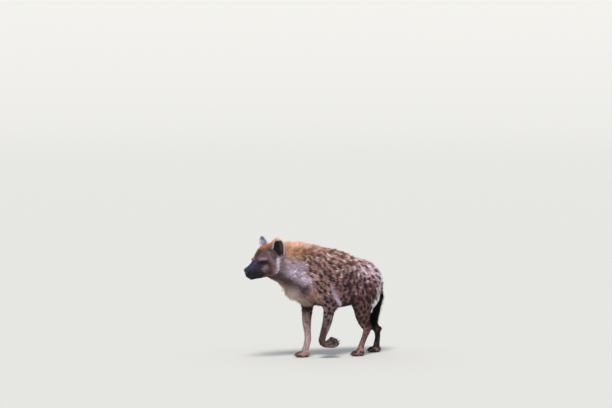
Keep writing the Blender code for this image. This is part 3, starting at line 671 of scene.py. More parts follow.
EAR = [
    Ear(-0.040, 0.022, 0.026, 0.030),
    Ear(-0.014, 0.034, 0.032, 0.024),
    Ear(0.012, 0.043, 0.033, 0.010),
    Ear(0.042, 0.0475, 0.029, 0.006),
    Ear(0.074, 0.0465, 0.023, 0.005),
    Ear(0.101, 0.0405, 0.017, 0.0045),
    Ear(0.120, 0.0300, 0.011, 0.004),
    Ear(0.131, 0.0160, 0.006, 0.003),
]
EAR_PLACE = {-1: (-0.038, 0.073, 0.011), 1: (-0.036, 0.069, 0.028)}
EAR_UP = (-0.07, 0.18, 1)
EAR_OUT = {-1: 1.0, 1: -0.06}  # how far each opening faces aside
EAR_TUCK = 0.0012  # the ear's skin lies this much inside the solid one
EAR_OPENING = 78  # degrees from the cup's middle to its rim
EAR_LEAN = -0.10  # how far the ear leans back for each metre up
THINNEST_EAR = 0.0022
EAR_SIDES = 21


def ear_frame(side):
    """The ear's own frame in the world: X across it, Y out of its cup, Z up it."""
    ahead, aside, above = EAR_UP
    up = head_way(ahead, aside * side, above)
    out = head_way(1, EAR_OUT[side] * side, 0)
    across = out.cross(up).normalized()
    out = up.cross(across)
    turn = Matrix((across, out, up)).transposed().to_4x4()
    ahead, aside, above = EAR_PLACE[side]
    return Matrix.Translation(in_head(ahead, aside * side, above)) @ turn


def ear_places(points, side):
    """The points in an ear's own frame."""
    frame_of_ear = ear_frame(side)
    turn = np.array(frame_of_ear.to_3x3())
    return (points - np.array(frame_of_ear.translation)) @ turn


def ear_shell(side):
    """A cupped ear: the back of each crescent, then its inside."""
    angles = np.radians(np.linspace(-EAR_OPENING, EAR_OPENING, EAR_SIDES))
    rings = []
    for up, half, cup, wall in smooth_rows(np.array(EAR, float), 4):
        half, cup = half - EAR_TUCK, cup - EAR_TUCK
        wall = max(wall - EAR_TUCK, THINNEST_EAR)
        lean = EAR_LEAN * max(up, 0)
        back = [(half * math.sin(a), lean - cup * math.cos(a)) for a in angles]
        inner = [
            ((half - wall * 0.6) * math.sin(a), lean - (cup - wall) * math.cos(a) + wall * 0.15)
            for a in angles[::-1]
        ]
        rings.append([Vector((x, y, up)) for x, y in back + inner])
    tips = [sum(ring, Vector()) / len(ring) for ring in (rings[0], rings[-1])]
    tips[1].z += 0.0025
    bm = bmesh.new()
    add_rings(bm, rings, *tips)
    bm.transform(ear_frame(side))
    return new_object("ear", bm)


combine(skin, [ear_shell(side) for side in SIDES], "UNION")
print("two ears joined on; the skin has", len(skin.data.polygons), "faces")

# %% [markdown]
# ## Modelling the face
#
# The face is where a look rests, so its mesh is divided once more. Folds are then
# drawn on it as strokes. Each stroke is a line in the head's frame along which the
# skin rises or sinks: a brow, a groove down from the inner corner of the eye, the
# rims of the nostrils, the rows where whiskers grow.

# %% Refine the face, and draw its folds
class Stroke(NamedTuple):
    """A fold along a line in the head's frame, given for the side at +Y."""

    height: float
    reach: float
    line: tuple


EYE_PLACE = (0.098, 0.0500, 0.014)
FACE_STROKES = [
    Stroke(0.0016, 0.022, ((0.123, 0.035, 0.030), (0.100, 0.050, 0.036), (0.078, 0.062, 0.033))),
    Stroke(-0.0018, 0.018, ((0.124, 0.042, 0.012), (0.140, 0.046, -0.002), (0.156, 0.046, -0.010))),
    Stroke(0.0014, 0.018, ((0.108, 0.054, -0.012), (0.130, 0.052, -0.020), (0.148, 0.050, -0.028))),
    Stroke(0.0018, 0.020, ((0.170, 0.047, -0.036), (0.193, 0.045, -0.032), (0.215, 0.036, -0.028))),
    Stroke(-0.0010, 0.012, ((0.155, 0.050, -0.016), (0.188, 0.046, -0.012), (0.219, 0.036, -0.010))),
    Stroke(-0.0016, 0.018, ((0.198, 0.018, 0.024), (0.175, 0.024, 0.031), (0.148, 0.028, 0.038))),
    Stroke(0.0012, 0.009, ((0.233, 0.022, 0.000), (0.243, 0.020, -0.010), (0.239, 0.014, -0.016))),
    Stroke(-0.0012, 0.005, ((0.249, 0.000, -0.008), (0.245, 0.000, -0.022), (0.239, 0.000, -0.034))),
]
FACE_STARTS = 0.056  # ahead of the head's pivot
FOLDS_START = 0.02


def refine_face(obj):
    """Divides the face's polygons once, and smooths away the flats."""
    bm = bmesh.new()
    bm.from_mesh(obj.data)
    edges = [
        e for e in bm.edges
        if all(head_places(np.array([v.co]))[0, 0] > FACE_STARTS for v in e.verts)
    ]
    bmesh.ops.subdivide_edges(bm, edges=edges, cuts=1, use_grid_fill=True)
    bm.to_mesh(obj.data)
    bm.free()

    def share(points):
        return ramp(head_places(points)[:, 0], FACE_STARTS - 0.01, FACE_STARTS + 0.01)

    soften(obj, 4, share)


def draw_folds(obj):
    points = points_of(obj)
    places = head_places(points)
    places[:, 1] = np.abs(places[:, 1])
    rise = sum(s.height * near_line(places, s.line, s.reach, 0) for s in FACE_STROKES)
    rise *= places[:, 0] > FOLDS_START
    set_points(obj, points + normals_of(obj) * rise[:, None])


refine_face(skin)
draw_folds(skin)
print(len(FACE_STROKES), "pairs of folds drawn; the skin has", len(skin.data.polygons), "faces")

# %% [markdown]
# ## Lids, lips and nostrils
#
# A lid is a thin shell over the eyeball. A ball a little larger than the eye is
# joined on, smoothed into the face round it, and cut open again: first the socket,
# then an almond-shaped slit between the lids. The mouth is a thin curved cut with a
# lip above and below it, and each nostril is a slanting hollow.

# %% Lids, mouth and nostrils
EYE_RADIUS = 0.0125
EYE_GAZE = (0.70, 0.66, 0.20)
SLIT_WIDE, SLIT_TALL = 0.94, 0.56  # half the slit, as shares of the eye's radius
SLIT_TILT = 0.16
SLIT_ENDS = ((0.2, 0.9), (2.2, 1.35))  # how far along the gaze, in radii, and how flared
LID = 0.0022
EYE_ROOM = 0.0002
MOUTH_CENTRE = (0.155, 0, -0.050)
MOUTH_ENDS = 126  # degrees from the front of the mouth to its corners
UPPER_LIP, LOWER_LIP = (0.0052, 0.0026, 0.0040), (-0.0050, 0.0022, 0.0036)
MOUTH_CUT = (0, 0.0080, 0.0011)
NOSTRIL = ((0.249, 0.0095, -0.0025), (0.243, 0.0145, -0.0050), (0.236, 0.0195, -0.0095))


def eye_centre(side):
    return in_head(EYE_PLACE[0], EYE_PLACE[1] * side, EYE_PLACE[2])


def eye_gaze(side):
    return head_way(EYE_GAZE[0], EYE_GAZE[1] * side, EYE_GAZE[2])


def globe(name, place, radius):
    bm = bmesh.new()
    bmesh.ops.create_uvsphere(bm, u_segments=40, v_segments=20, radius=radius)
    bm.transform(Matrix.Translation(place))
    return new_object(name, bm)


def eye_slit(side):
    """The almond between the lids, as a flaring plug along the gaze."""
    gaze = eye_gaze(side)
    brow = head_way(0.10, 0, 1)
    across = gaze.cross(brow).normalized()
    brow = across.cross(gaze)
    tilt = -SLIT_TILT * side
    rings = []
    for depth, flare in SLIT_ENDS:
        ring = []
        for a in np.linspace(0, 2 * math.pi, 36, endpoint=False):
            wide = SLIT_WIDE * EYE_RADIUS * math.cos(a)
            tall = SLIT_TALL * EYE_RADIUS * math.copysign(abs(math.sin(a)) ** 1.3, math.sin(a))
            at = across * (wide * math.cos(tilt) - tall * math.sin(tilt)) * flare
            at += brow * (wide * math.sin(tilt) + tall * math.cos(tilt)) * flare
            ring.append(eye_centre(side) + gaze * (depth * EYE_RADIUS) + at)
        rings.append(ring)
    bm = bmesh.new()
    add_rings(bm, rings, *[sum(ring, Vector()) / len(ring) for ring in rings])
    return new_object("slit", bm)


def mouth_path(obj):
    """Points on the muzzle from one corner of the mouth round to the other."""
    tree = BVHTree.FromObject(obj, bpy.context.evaluated_depsgraph_get())
    path = []
    for degrees in range(-MOUTH_ENDS, MOUTH_ENDS + 1, 6):
        a = math.radians(degrees)
        rise = 0.10 * (1 - abs(math.cos(a / 2))) + 0.10 * math.cos(a) - 0.04
        way = head_way(math.cos(a), math.sin(a), rise)
        path.append(tree.ray_cast(in_head(*MOUTH_CENTRE), way)[0])
    return path


def mouth_band(path, name, above, depth, thickness):
    """A flat band along the mouth, this far above the line between the lips."""
    rows = []
    last = len(path) - 1
    for i, place in enumerate(path):
        fade = min(1, 0.35 + 3 * min(i, last - i) / last)
        at = place + head_way(0, 0, 1) * above * fade
        rows.append(Station(tuple(at), depth * fade, thickness * fade, thickness * fade))
    bm = bmesh.new()
    tube(bm, rows, UP, sides=12, steps=2, power=2.0, roundness=0.3)
    return new_object(name, bm)


def nostril(side):
    """A comma-shaped hollow that narrows as it slants back into the nose."""
    bm = bmesh.new()
    rows = [
        Station(tuple(in_head(a, b * side, c)), 0.0048 - 0.0012 * i, 0.0028, 0.0028)
        for i, (a, b, c) in enumerate(NOSTRIL)
    ]
    tube(bm, rows, UP, sides=16, steps=4, power=2.0)
    return new_object("nostril", bm)


def near_eyes(points, reach):
    near = np.zeros(len(points))
    for side in SIDES:
        distance = np.linalg.norm(points - np.array(eye_centre(side)), axis=1)
        near = np.maximum(near, 1 - ramp(distance, 0.7 * reach, reach))
    return near


path = mouth_path(skin)
combine(skin, [globe("lid", eye_centre(side), EYE_RADIUS + LID) for side in SIDES], "UNION")
combine(skin, [mouth_band(path, "lip", *lip) for lip in (UPPER_LIP, LOWER_LIP)], "UNION")
lips = np.array(path)


def blend_share(points):
    """Where the lids and lips join the face."""
    round_eye = near_eyes(points, 0.026) * (1 - near_eyes(points, EYE_RADIUS + LID + 0.0022))
    return np.maximum(0.9 * round_eye, near_line(points, lips[::4], 0.014, 0.6))


soften(skin, 6, blend_share)
cuts = [mouth_band(path, "mouth", *MOUTH_CUT)]
cuts += [globe("socket", eye_centre(side), EYE_RADIUS + EYE_ROOM) for side in SIDES]
cuts += [eye_slit(side) for side in SIDES]
cuts += [nostril(side) for side in SIDES]
combine(skin, cuts, "DIFFERENCE")
print("lids, lips and nostrils are in; the skin has", len(skin.data.polygons), "faces")

# %% [markdown]
# ## Eyes and claws
#
# The eye is a ball with a clear bulge in front. It is built with its pole along the
# gaze, so its material can paint the pupil and the iris as rings round that axis.
# The claws are blunt, because a hyena can't draw them in and wears them down.

# %% Eyes
CORNEA = 0.055  # how far it bulges, as a share of the eye's radius
EYE_SUNK = 0.0006
SOLE_GAP = 0.0002  # between the soles and the floor


def eyeball(side):
    """A ball with a raised cornea, its pole turned along the gaze."""
    bm = bmesh.new()
    bmesh.ops.create_uvsphere(bm, u_segments=48, v_segments=32, radius=EYE_RADIUS)
    for vert in bm.verts:
        off_axis = math.atan2(math.hypot(vert.co.x, vert.co.y), vert.co.z)
        vert.co *= 1 + CORNEA * float(1 - ramp(np.array(off_axis), 0.25, 0.80))
    eye = new_object("eyeball_left" if side < 0 else "eyeball_right", bm)
    turn = eye_gaze(side).to_track_quat("Z", "Y").to_matrix().to_4x4()
    eye.matrix_world = Matrix.Translation(eye_centre(side) - eye_gaze(side) * EYE_SUNK) @ turn
    return eye


eyes = {side: eyeball(side) for side in SIDES}
low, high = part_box("eye_left")
SHIFT = (low + high) / 2 - eye_centre(-1)  # from the body's own frame to the shared one
GROUND = -SHIFT.z  # the floor's height in the body's own frame
above_floor = points_of(skin)
above_floor[:, 2] = np.maximum(above_floor[:, 2], GROUND + SOLE_GAP)
set_points(skin, above_floor)
print("two eyes of", round(2000 * EYE_RADIUS, 1), "mm")

# %% Claws
CLAW = (  # how far ahead, how high and how thick each ring of a claw is
    (0.000, -0.005, 0.0048),
    (0.009, -0.006, 0.0042),
    (0.015, -0.009, 0.0031),
    (0.019, -0.013, 0.0018),
)
CLAW_NARROW = 0.7  # its width as a share of its height
CLAW_ASIDE = 1.04  # how far aside it is, as a share of where its toe starts


def claw_rings(aside, reach):
    turn = np.linspace(0, 2 * math.pi, 12, endpoint=False)
    return [
        [Vector((reach + x, aside + CLAW_NARROW * r * math.sin(a), z + r * math.cos(a))) for a in turn]
        for x, z, r in CLAW
    ]


def make_claws():
    bm = bmesh.new()
    for paw in PAWS:
        own = bmesh.new()
        for aside, reach in zip(TOE_ASIDE, TOE_REACH):
            aside, reach = aside * paw.width * CLAW_ASIDE, reach * paw.length
            root = Vector((reach - 0.003, aside, -0.005))
            tip = Vector((reach + CLAW[-1][0] + 0.002, aside, CLAW[-1][1] - 0.002))
            add_rings(own, claw_rings(aside, reach), root, tip)
        add_moved(bm, own, paw_frame(paw))
    return new_object("claws", bm)


claws = make_claws()
print(len(PAWS) * len(TOE_ASIDE), "claws")

# %% [markdown]
# ## Markings
#
# The coat is a pinkish buff, paler on the side of the neck, gingery along the crest
# and crown, and dark on the face and feet. Under the belly it is darkened further as
# painted shade, and a few patches paint shade or a reflection of the sky, as marked
# below. Each patch is a line with a reach and a colour, laid over the ones before it,
# like strokes of thinned paint. The same function colours the skin and the root of
# every hair, so that they agree.

# %% Patches of colour
class Patch(NamedTuple):
    """A soft-edged patch of colour along a line. side is -1 for the left, 1 for the
    right and 0 for both, with the line given for the side at +Y."""

    colour: tuple
    strength: float
    reach: float
    side: int
    line: tuple


BUFF = (0.43, 0.250, 0.225)
SPOT_BROWN = (0.022, 0.008, 0.010)
PATCH_FLAT = 0.2  # share of a patch's reach over which it is at its full strength
EDGE_WOBBLE = 0.12  # as a share of its reach
TRUNK_PATCHES = [
    Patch((0.29, 0.137, 0.155), 0.85, 0.190, 0, ((0.16, 0.13, 0.50), (0.34, 0.12, 0.50))),
    Patch((0.92, 0.620, 0.730), 0.92, 0.180, 0, ((0.44, 0.09, 0.68), (0.55, 0.07, 0.60))),
    Patch((0.84, 0.500, 0.420), 0.75, 0.110, 0, ((0.08, 0.05, 0.79), (0.40, 0.04, 0.74))),
    Patch((0.160, 0.062, 0.058), 0.85, 0.150, 0, ((0.42, 0.11, 0.48), (0.42, 0.11, 0.34))),
    Patch(
        (0.60, 0.490, 0.600), 0.96, 0.120, 0,
        ((-0.31, 0.09, 0.69), (-0.20, 0.10, 0.66), (-0.165, 0.10, 0.60)),
    ),
    Patch((0.30, 0.200, 0.210), 0.75, 0.060, 0, ((-0.38, 0.09, 0.68), (-0.32, 0.09, 0.69))),
    Patch(
        (0.070, 0.040, 0.052), 0.92, 0.072, 0,
        ((-0.37, 0.06, 0.640), (-0.25, 0.07, 0.570), (-0.155, 0.09, 0.525)),
    ),
    Patch(
        (0.52, 0.430, 0.340), 0.85, 0.080, 0,
        ((-0.25, 0.0, 0.530), (-0.16, 0.03, 0.450), (-0.13, 0.06, 0.42)),
    ),
    Patch(
        (0.90, 0.580, 0.420), 0.92, 0.085, 0,
        ((-0.36, 0.0, 0.84), (-0.18, 0.0, 0.84), (0.02, 0.0, 0.83)),
    ),
    Patch(
        (0.64, 0.360, 0.220), 0.75, 0.055, 0,
        ((-0.33, 0.05, 0.80), (-0.16, 0.08, 0.79), (-0.06, 0.09, 0.78)),
    ),
    Patch((0.56, 0.480, 0.600), 0.85, 0.030, -1, ((0.070, 0.135, 0.54), (0.105, 0.135, 0.47))),
    Patch((0.66, 0.580, 0.760), 0.97, 0.040, -1, ((0.120, 0.135, 0.46), (0.150, 0.130, 0.40))),
    # Near black under the belly toward the groin: painted shade on the underside.
    Patch(
        (0.012, 0.007, 0.009), 0.94, 0.075, 0,
        ((0.15, 0.03, 0.375), (0.30, 0.05, 0.385), (0.37, 0.05, 0.44)),
    ),
    Patch(
        (0.050, 0.024, 0.026), 0.85, 0.045, 0,
        ((0.295, 0.10, 0.48), (0.305, 0.10, 0.38), (0.345, 0.11, 0.27)),
    ),
    Patch(
        (0.95, 0.860, 1.000), 0.97, 0.072, -1,
        ((0.585, 0.062, 0.62), (0.560, 0.085, 0.54), (0.520, 0.105, 0.45), (0.485, 0.115, 0.38)),
    ),
    Patch(
        (0.85, 0.770, 0.900), 0.95, 0.066, 1,
        ((0.590, 0.062, 0.62), (0.600, 0.085, 0.54), (0.605, 0.105, 0.45), (0.605, 0.115, 0.38)),
    ),
    Patch(
        (0.60, 0.500, 0.600), 0.85, 0.050, 0,
        ((0.60, 0.0, 0.60), (0.632, 0.0, 0.50), (0.628, 0.0, 0.45)),
    ),
    Patch((0.008, 0.005, 0.006), 1.00, 0.060, 0, ((0.612, 0.0, 0.41), (0.57, 0.0, 0.26))),
]
LEG_PATCHES = [
    Patch(
        (0.26, 0.165, 0.185), 0.88, 0.095, -1,
        ((0.03, 0.14, 0.42), (0.045, 0.15, 0.36), (0.02, 0.14, 0.26)),
    ),
    Patch((0.045, 0.024, 0.032), 0.85, 0.048, -1, ((0.125, 0.13, 0.38), (0.082, 0.14, 0.26))),
    Patch(
        (0.060, 0.027, 0.026), 0.94, 0.080, -1,
        ((0.005, 0.13, 0.225), (-0.015, 0.12, 0.15), (0.02, 0.12, 0.09)),
    ),
    Patch(
        (0.46, 0.370, 0.470), 0.80, 0.026, -1,
        ((0.056, 0.138, 0.25), (0.043, 0.136, 0.17), (0.043, 0.134, 0.135)),
    ),
    Patch((0.21, 0.125, 0.120), 0.80, 0.060, -1, ((0.07, 0.12, 0.11), (0.14, 0.12, 0.12))),
    Patch((0.022, 0.013, 0.015), 0.88, 0.030, -1, ((0.00, 0.12, 0.10), (0.04, 0.12, 0.082))),
    Patch(
        (0.56, 0.390, 0.400), 0.90, 0.080, 1,
        ((0.01, 0.09, 0.31), (0.01, 0.08, 0.16), (-0.02, 0.08, 0.06)),
    ),
    Patch((0.16, 0.150, 0.230), 0.75, 0.040, 1, ((0.055, 0.065, 0.36), (0.042, 0.058, 0.24))),
    # Near black high on the far foreleg, under the body: painted shade.
    Patch((0.018, 0.010, 0.013), 0.92, 0.085, 1, ((-0.02, 0.07, 0.46), (0.00, 0.07, 0.385))),
    Patch((0.060, 0.026, 0.026), 0.88, 0.070, -1, ((0.40, 0.09, 0.27), (0.45, 0.09, 0.21))),
    Patch((0.120, 0.048, 0.038), 0.88, 0.048, -1, ((0.425, 0.09, 0.165), (0.395, 0.09, 0.09))),
    Patch(
        (0.034, 0.013, 0.021), 0.92, 0.085, 1,
        ((0.58, 0.09, 0.29), (0.66, 0.09, 0.19), (0.66, 0.09, 0.09)),
    ),
    Patch((0.036, 0.018, 0.022), 0.88, 0.060, -1, ((0.36, 0.09, 0.02), (0.31, 0.09, 0.02))),
    Patch((0.036, 0.018, 0.022), 0.88, 0.060, 1, ((0.65, 0.09, 0.02), (0.59, 0.09, 0.02))),
    Patch((0.070, 0.035, 0.034), 0.80, 0.050, 1, ((-0.06, 0.08, 0.02), (-0.09, 0.08, 0.02))),
]
HEAD_PATCHES = [
    Patch((0.076, 0.035, 0.045), 1.00, 0.170, 0, ((0.02, 0.00, 0.03), (0.12, 0.00, -0.02))),
    Patch(
        (0.230, 0.150, 0.160), 0.75, 0.050, 0,
        ((-0.06, 0.08, -0.04), (0.00, 0.08, -0.08), (0.03, 0.07, -0.10)),
    ),
    Patch((0.165, 0.092, 0.102), 0.70, 0.034, 0, ((0.055, 0.042, 0.088), (0.105, 0.036, 0.062))),
    Patch((0.045, 0.016, 0.020), 0.80, 0.020, 0, ((0.045, 0.00, 0.108), (0.120, 0.00, 0.056))),
    Patch(
        (0.470, 0.180, 0.045), 0.94, 0.052, 0,
        ((-0.06, 0.00, 0.11), (0.00, 0.00, 0.12), (0.030, 0.00, 0.110)),
    ),
    Patch(
        (0.270, 0.180, 0.190), 0.80, 0.032, 0,
        ((0.052, 0.066, 0.062), (0.042, 0.078, 0.022), (0.034, 0.082, -0.010)),
    ),
    Patch((0.090, 0.074, 0.110), 0.75, 0.024, 0, ((0.014, 0.076, 0.030), (0.002, 0.080, 0.006))),
    Patch(
        (0.400, 0.250, 0.300), 0.80, 0.018, 0,
        ((0.122, 0.036, 0.050), (0.102, 0.053, 0.045), (0.084, 0.064, 0.040)),
    ),
    # Dark brown behind the cheek: a painted shadow.
    Patch(
        (0.050, 0.026, 0.020), 0.80, 0.028, 0,
        ((0.068, 0.073, -0.008), (0.070, 0.070, -0.040), (0.074, 0.066, -0.070)),
    ),
    # Dark blue-violet down the sides of the muzzle: the muzzle's own dark colour, with its blue a painted
    # reflection of the sky.
    Patch(
        (0.028, 0.021, 0.070), 0.94, 0.058, 0,
        ((0.150, 0.040, 0.012), (0.195, 0.034, -0.004), (0.230, 0.018, 0.000)),
    ),
    Patch(
        (0.420, 0.280, 0.360), 0.78, 0.026, 0,
        ((0.098, 0.061, -0.022), (0.120, 0.054, -0.034), (0.112, 0.058, -0.050)),
    ),
    Patch(
        (0.006, 0.004, 0.008), 0.99, 0.076, 0,
        ((0.25, 0.00, -0.035), (0.20, 0.03, -0.055), (0.145, 0.045, -0.078)),
    ),
    # Blue along the bridge and top of the nose: a painted reflection of the sky on its dark skin.
    Patch((0.022, 0.022, 0.130), 0.92, 0.036, 0, ((0.232, 0.00, 0.014), (0.160, 0.00, 0.042))),
    Patch((0.032, 0.034, 0.190), 0.88, 0.022, 0, ((0.230, 0.00, 0.014), (0.200, 0.00, 0.027))),
    Patch(
        (0.005, 0.004, 0.006), 0.98, 0.024, 0,
        ((0.136, 0.040, 0.022), (0.112, 0.053, 0.020), (0.084, 0.066, 0.014)),
    ),
    Patch(
        (0.850, 0.770, 0.900), 0.92, 0.029, 0,
        ((-0.014, 0.081, 0.002), (0.004, 0.086, -0.038), (0.020, 0.083, -0.078)),
    ),
]


def grain(points, scale, seed):
    """A cheap smooth noise from about -1 to 1: a few waves in seeded directions."""
    rng = np.random.default_rng(seed)
    total = np.zeros(len(points))
    for _ in range(6):
        way = rng.normal(size=3)
        way *= scale * rng.uniform(0.6, 1.6) / np.linalg.norm(way)
        total += np.sin(points @ way * 2 * math.pi + rng.uniform(0, 6.28))
    return total / 3.5


def lay(colours, places, patches, wobble):
    """Lays the patches over the colours. wobble roughens their edges."""
    for patch in patches:
        local = places.copy()
        off_side = np.zeros(len(local))
        if patch.side:
            local[:, 1] *= patch.side
            off_side = ramp(-local[:, 1], 0.0, 0.02)
        else:
            local[:, 1] = np.abs(local[:, 1])
        moved = local + wobble[:, None] * EDGE_WOBBLE * patch.reach
        share = patch.strength * near_line(moved, patch.line, patch.reach, PATCH_FLAT) * (1 - off_side)
        colours += share[:, None] * (np.array(patch.colour) - colours)
    return colours


print(len(TRUNK_PATCHES + LEG_PATCHES), "patches on the body and", len(HEAD_PATCHES), "on the head")

# %% Where the ears are, and their colours
class EarTones(NamedTuple):
    """An ear's colours: inside, on its back, round its rim, and a second tone that
    lies inside along its rear half or, where it is the tip's, over the top."""

    inside: tuple
    back: tuple
    rim: tuple
    second: tuple


EAR_COLOURS = {
    # The left ear's near black inside is painted shade in the hollow of its cup; the right ear's inside is
    # its own pale colour.
    -1: EarTones((0.008, 0.006, 0.009), (0.170, 0.105, 0.090), (0.80, 0.640, 0.58), (0.100, 0.066, 0.074)),
    1: EarTones((0.400, 0.380, 0.600), (0.130, 0.085, 0.080), (0.82, 0.780, 0.90), (0.050, 0.044, 0.140)),
}
RIM_STARTS = {-1: 0.84, 1: 0.60}  # as a share of the ear's half width
RIM_BLEND = 0.12
EAR_TIP = 0.134  # how far up the ear its rim's top is


def on_ear(points, side):
    """How far a point belongs to the free part of an ear, from 0 to 1."""
    x, y, z = ear_places(points, side).T
    near = (np.abs(x) < 0.054) & (y < 0.012) & (y > -0.056) & (z < 0.145)
    return near * ramp(z, -0.004, 0.014)


def paint_ear(colours, points, normals, side):
    x, y, z = ear_places(points, side).T
    share = on_ear(points, side)
    out = normals @ np.array(ear_frame(side).to_3x3()).T[1]
    inside, back, rim, second = (np.array(tone) for tone in EAR_COLOURS[side])
    half = np.interp(z, [e.up for e in EAR], [e.half for e in EAR])
    place = x / half
    over = ramp(z, 0.078, 0.104) if side > 0 else 0.8 * ramp(-place, 0.05, 0.30) * ramp(z, 0.02, 0.05)
    tone = inside + over[:, None] * (second - inside)
    facing = ramp(out, -0.1, 0.35)[:, None]
    tone = back + facing * (tone - back)
    edge = ramp(np.maximum(np.abs(place), z / EAR_TIP), RIM_STARTS[side], RIM_STARTS[side] + RIM_BLEND)
    edge = edge[:, None] * (0.45 + 0.55 * facing)
    if side > 0:
        edge *= 1 - 0.6 * (over * (np.abs(place) < 0.6))[:, None]
    tone = tone + edge * (rim - tone)
    return colours + share[:, None] * (tone - colours)


print("ear colours are ready")

# %% [markdown]
# ## Spots
#
# No two spots are alike, and no row is straight, but they keep their distance. So
# the places are drawn at random and kept only where no other is near. Each spot is
# an ellipse with a ragged edge that lies along the streaks of that region: slanting
# on the shoulder, upright on the flank and round on the thigh.

# %% A sampler of the skin
class Samples(NamedTuple):
    """Places on the skin with their normals."""

    points: np.ndarray
    normals: np.ndarray


def skin_triangles():
    skin.data.calc_loop_triangles()
    corners = np.empty(len(skin.data.loop_triangles) * 3, int)
    skin.data.loop_triangles.foreach_get("vertices", corners)
    return corners.reshape(-1, 3)


SKIN_CORNERS = skin_triangles()
SKIN_POINTS = points_of(skin)
SKIN_NORMALS = normals_of(skin)
SKIN_MIDDLES = SKIN_POINTS[SKIN_CORNERS].mean(axis=1)
EDGES = SKIN_POINTS[SKIN_CORNERS[:, 1:]] - SKIN_POINTS[SKIN_CORNERS[:, :1]]
SKIN_AREAS = np.linalg.norm(np.cross(EDGES[:, 0], EDGES[:, 1]), axis=1) / 2


def sample_skin(count, weight, rng):
    """Random places, as dense as weight(points) says."""
    chance = SKIN_AREAS * weight(SKIN_MIDDLES)
    chosen = rng.choice(len(chance), count, p=chance / chance.sum())
    u, v = rng.random(count), rng.random(count)
    flip = u + v > 1
    u[flip], v[flip] = 1 - u[flip], 1 - v[flip]
    shares = np.stack([1 - u - v, u, v], axis=1)
    corners = SKIN_CORNERS[chosen]
    points = (SKIN_POINTS[corners] * shares[:, :, None]).sum(axis=1)
    normals = (SKIN_NORMALS[corners] * shares[:, :, None]).sum(axis=1)
    normals /= np.linalg.norm(normals, axis=1)[:, None]
    return Samples(points, normals)


print("the skin has", len(SKIN_CORNERS), "triangles to sample")

# %% Spots
class SpotKind(NamedTuple):
    """How spots are in a region, which lies round a line: how far apart, how long
    and wide, and the way they lie."""

    spacing: float
    half_length: float
    half_width: float
    way: tuple
    reach: float
    line: tuple


SPOT_KINDS = [
    SpotKind(0.037, 0.0185, 0.0155, (0.2, 0, 1), 0.26, ((0.40, 0.11, 0.45), (0.42, 0.10, 0.33))),
    SpotKind(0.040, 0.0220, 0.0140, (0.6, 0, -1), 0.22, ((-0.08, 0.11, 0.66), (0.02, 0.12, 0.50))),
    SpotKind(0.036, 0.0290, 0.0115, (0.12, 0, 1), 0.20, ((0.17, 0.13, 0.52), (0.30, 0.13, 0.50))),
    SpotKind(0.035, 0.0155, 0.0115, (0.8, 0, -0.5), 0.18, ((0.46, 0.09, 0.66), (0.54, 0.07, 0.58))),
    SpotKind(0.043, 0.0280, 0.0165, (1, 0, -0.25), 0.13, ((0.12, 0.05, 0.76), (0.44, 0.04, 0.73))),
    SpotKind(0.031, 0.0175, 0.0150, (1, 0, 0.1), 0.15, ((0.05, 0.14, 0.42), (0.03, 0.13, 0.25))),
    SpotKind(0.021, 0.0085, 0.0072, (1, 0, 0.3), 0.10, ((0.42, 0.09, 0.17), (0.38, 0.09, 0.06))),
    SpotKind(0.024, 0.0080, 0.0068, (1, 0, 0.3), 0.10, ((0.01, 0.08, 0.18), (-0.02, 0.08, 0.06))),
]


def bare_of_spots(points):
    """Where no spots grow: the neck, crest and belly, the pale flap of the elbow and the pale seat."""
    local = on_right(points)
    neck = ramp(-points[:, 0] - 0.36 * (points[:, 2] - 0.60), 0.075, 0.105)
    crest = near_line(local, ((-0.30, 0, 0.84), (0.02, 0, 0.84)), 0.075)
    belly = near_line(local, ((0.10, 0, 0.37), (0.34, 0, 0.38)), 0.09)
    flap = near_line(points, ((0.100, -0.135, 0.51), (0.150, -0.130, 0.39)), 0.045)
    seat = near_line(points, ((0.575, -0.070, 0.58), (0.530, -0.100, 0.47), (0.495, -0.110, 0.40)), 0.050)
    return np.maximum.reduce([neck, crest, belly, flap, seat])


SPOT_TRIES = 9000
SPOT_SIZES = (0.72, 1.25)
SPOT_TURN = 0.22  # how far a spot strays from the way of its region


def place_spots(rng):
    """Spots at random places that keep their distance from one another."""
    count = SPOT_TRIES
    points, normals = sample_skin(count, lambda points: 1 - bare_of_spots(points), rng)
    local = on_right(points)
    nearness = np.array([near_line(local, kind.line, kind.reach, 0) for kind in SPOT_KINDS])
    kinds = nearness.argmax(axis=0)
    sizes = rng.uniform(*SPOT_SIZES, count)
    spacings = np.array([kind.spacing for kind in SPOT_KINDS])[kinds]
    rooms = spacings * (0.55 + 0.45 * sizes)
    taken = np.full((count, 3), 9.0)
    chosen = []
    for i in range(count):
        if np.linalg.norm(taken[: len(chosen)] - points[i], axis=1).min(initial=9) > rooms[i]:
            taken[len(chosen)] = points[i]
            chosen.append(i)
    points, normals, kinds, sizes = (rows[chosen] for rows in (points, normals, kinds, sizes))
    way = np.array([kind.way for kind in SPOT_KINDS], float)[kinds]
    way += rng.normal(size=way.shape) * SPOT_TURN
    way -= normals * (way * normals).sum(axis=1)[:, None]
    way /= np.linalg.norm(way, axis=1)[:, None]
    half_length = np.array([kind.half_length for kind in SPOT_KINDS])[kinds] * sizes
    half_width = np.array([kind.half_width for kind in SPOT_KINDS])[kinds] * sizes
    return points, way, np.cross(normals, way), half_length, half_width


SPOTS = place_spots(np.random.default_rng(5))
CHUNK = 4096  # points worked out at once, to spare memory


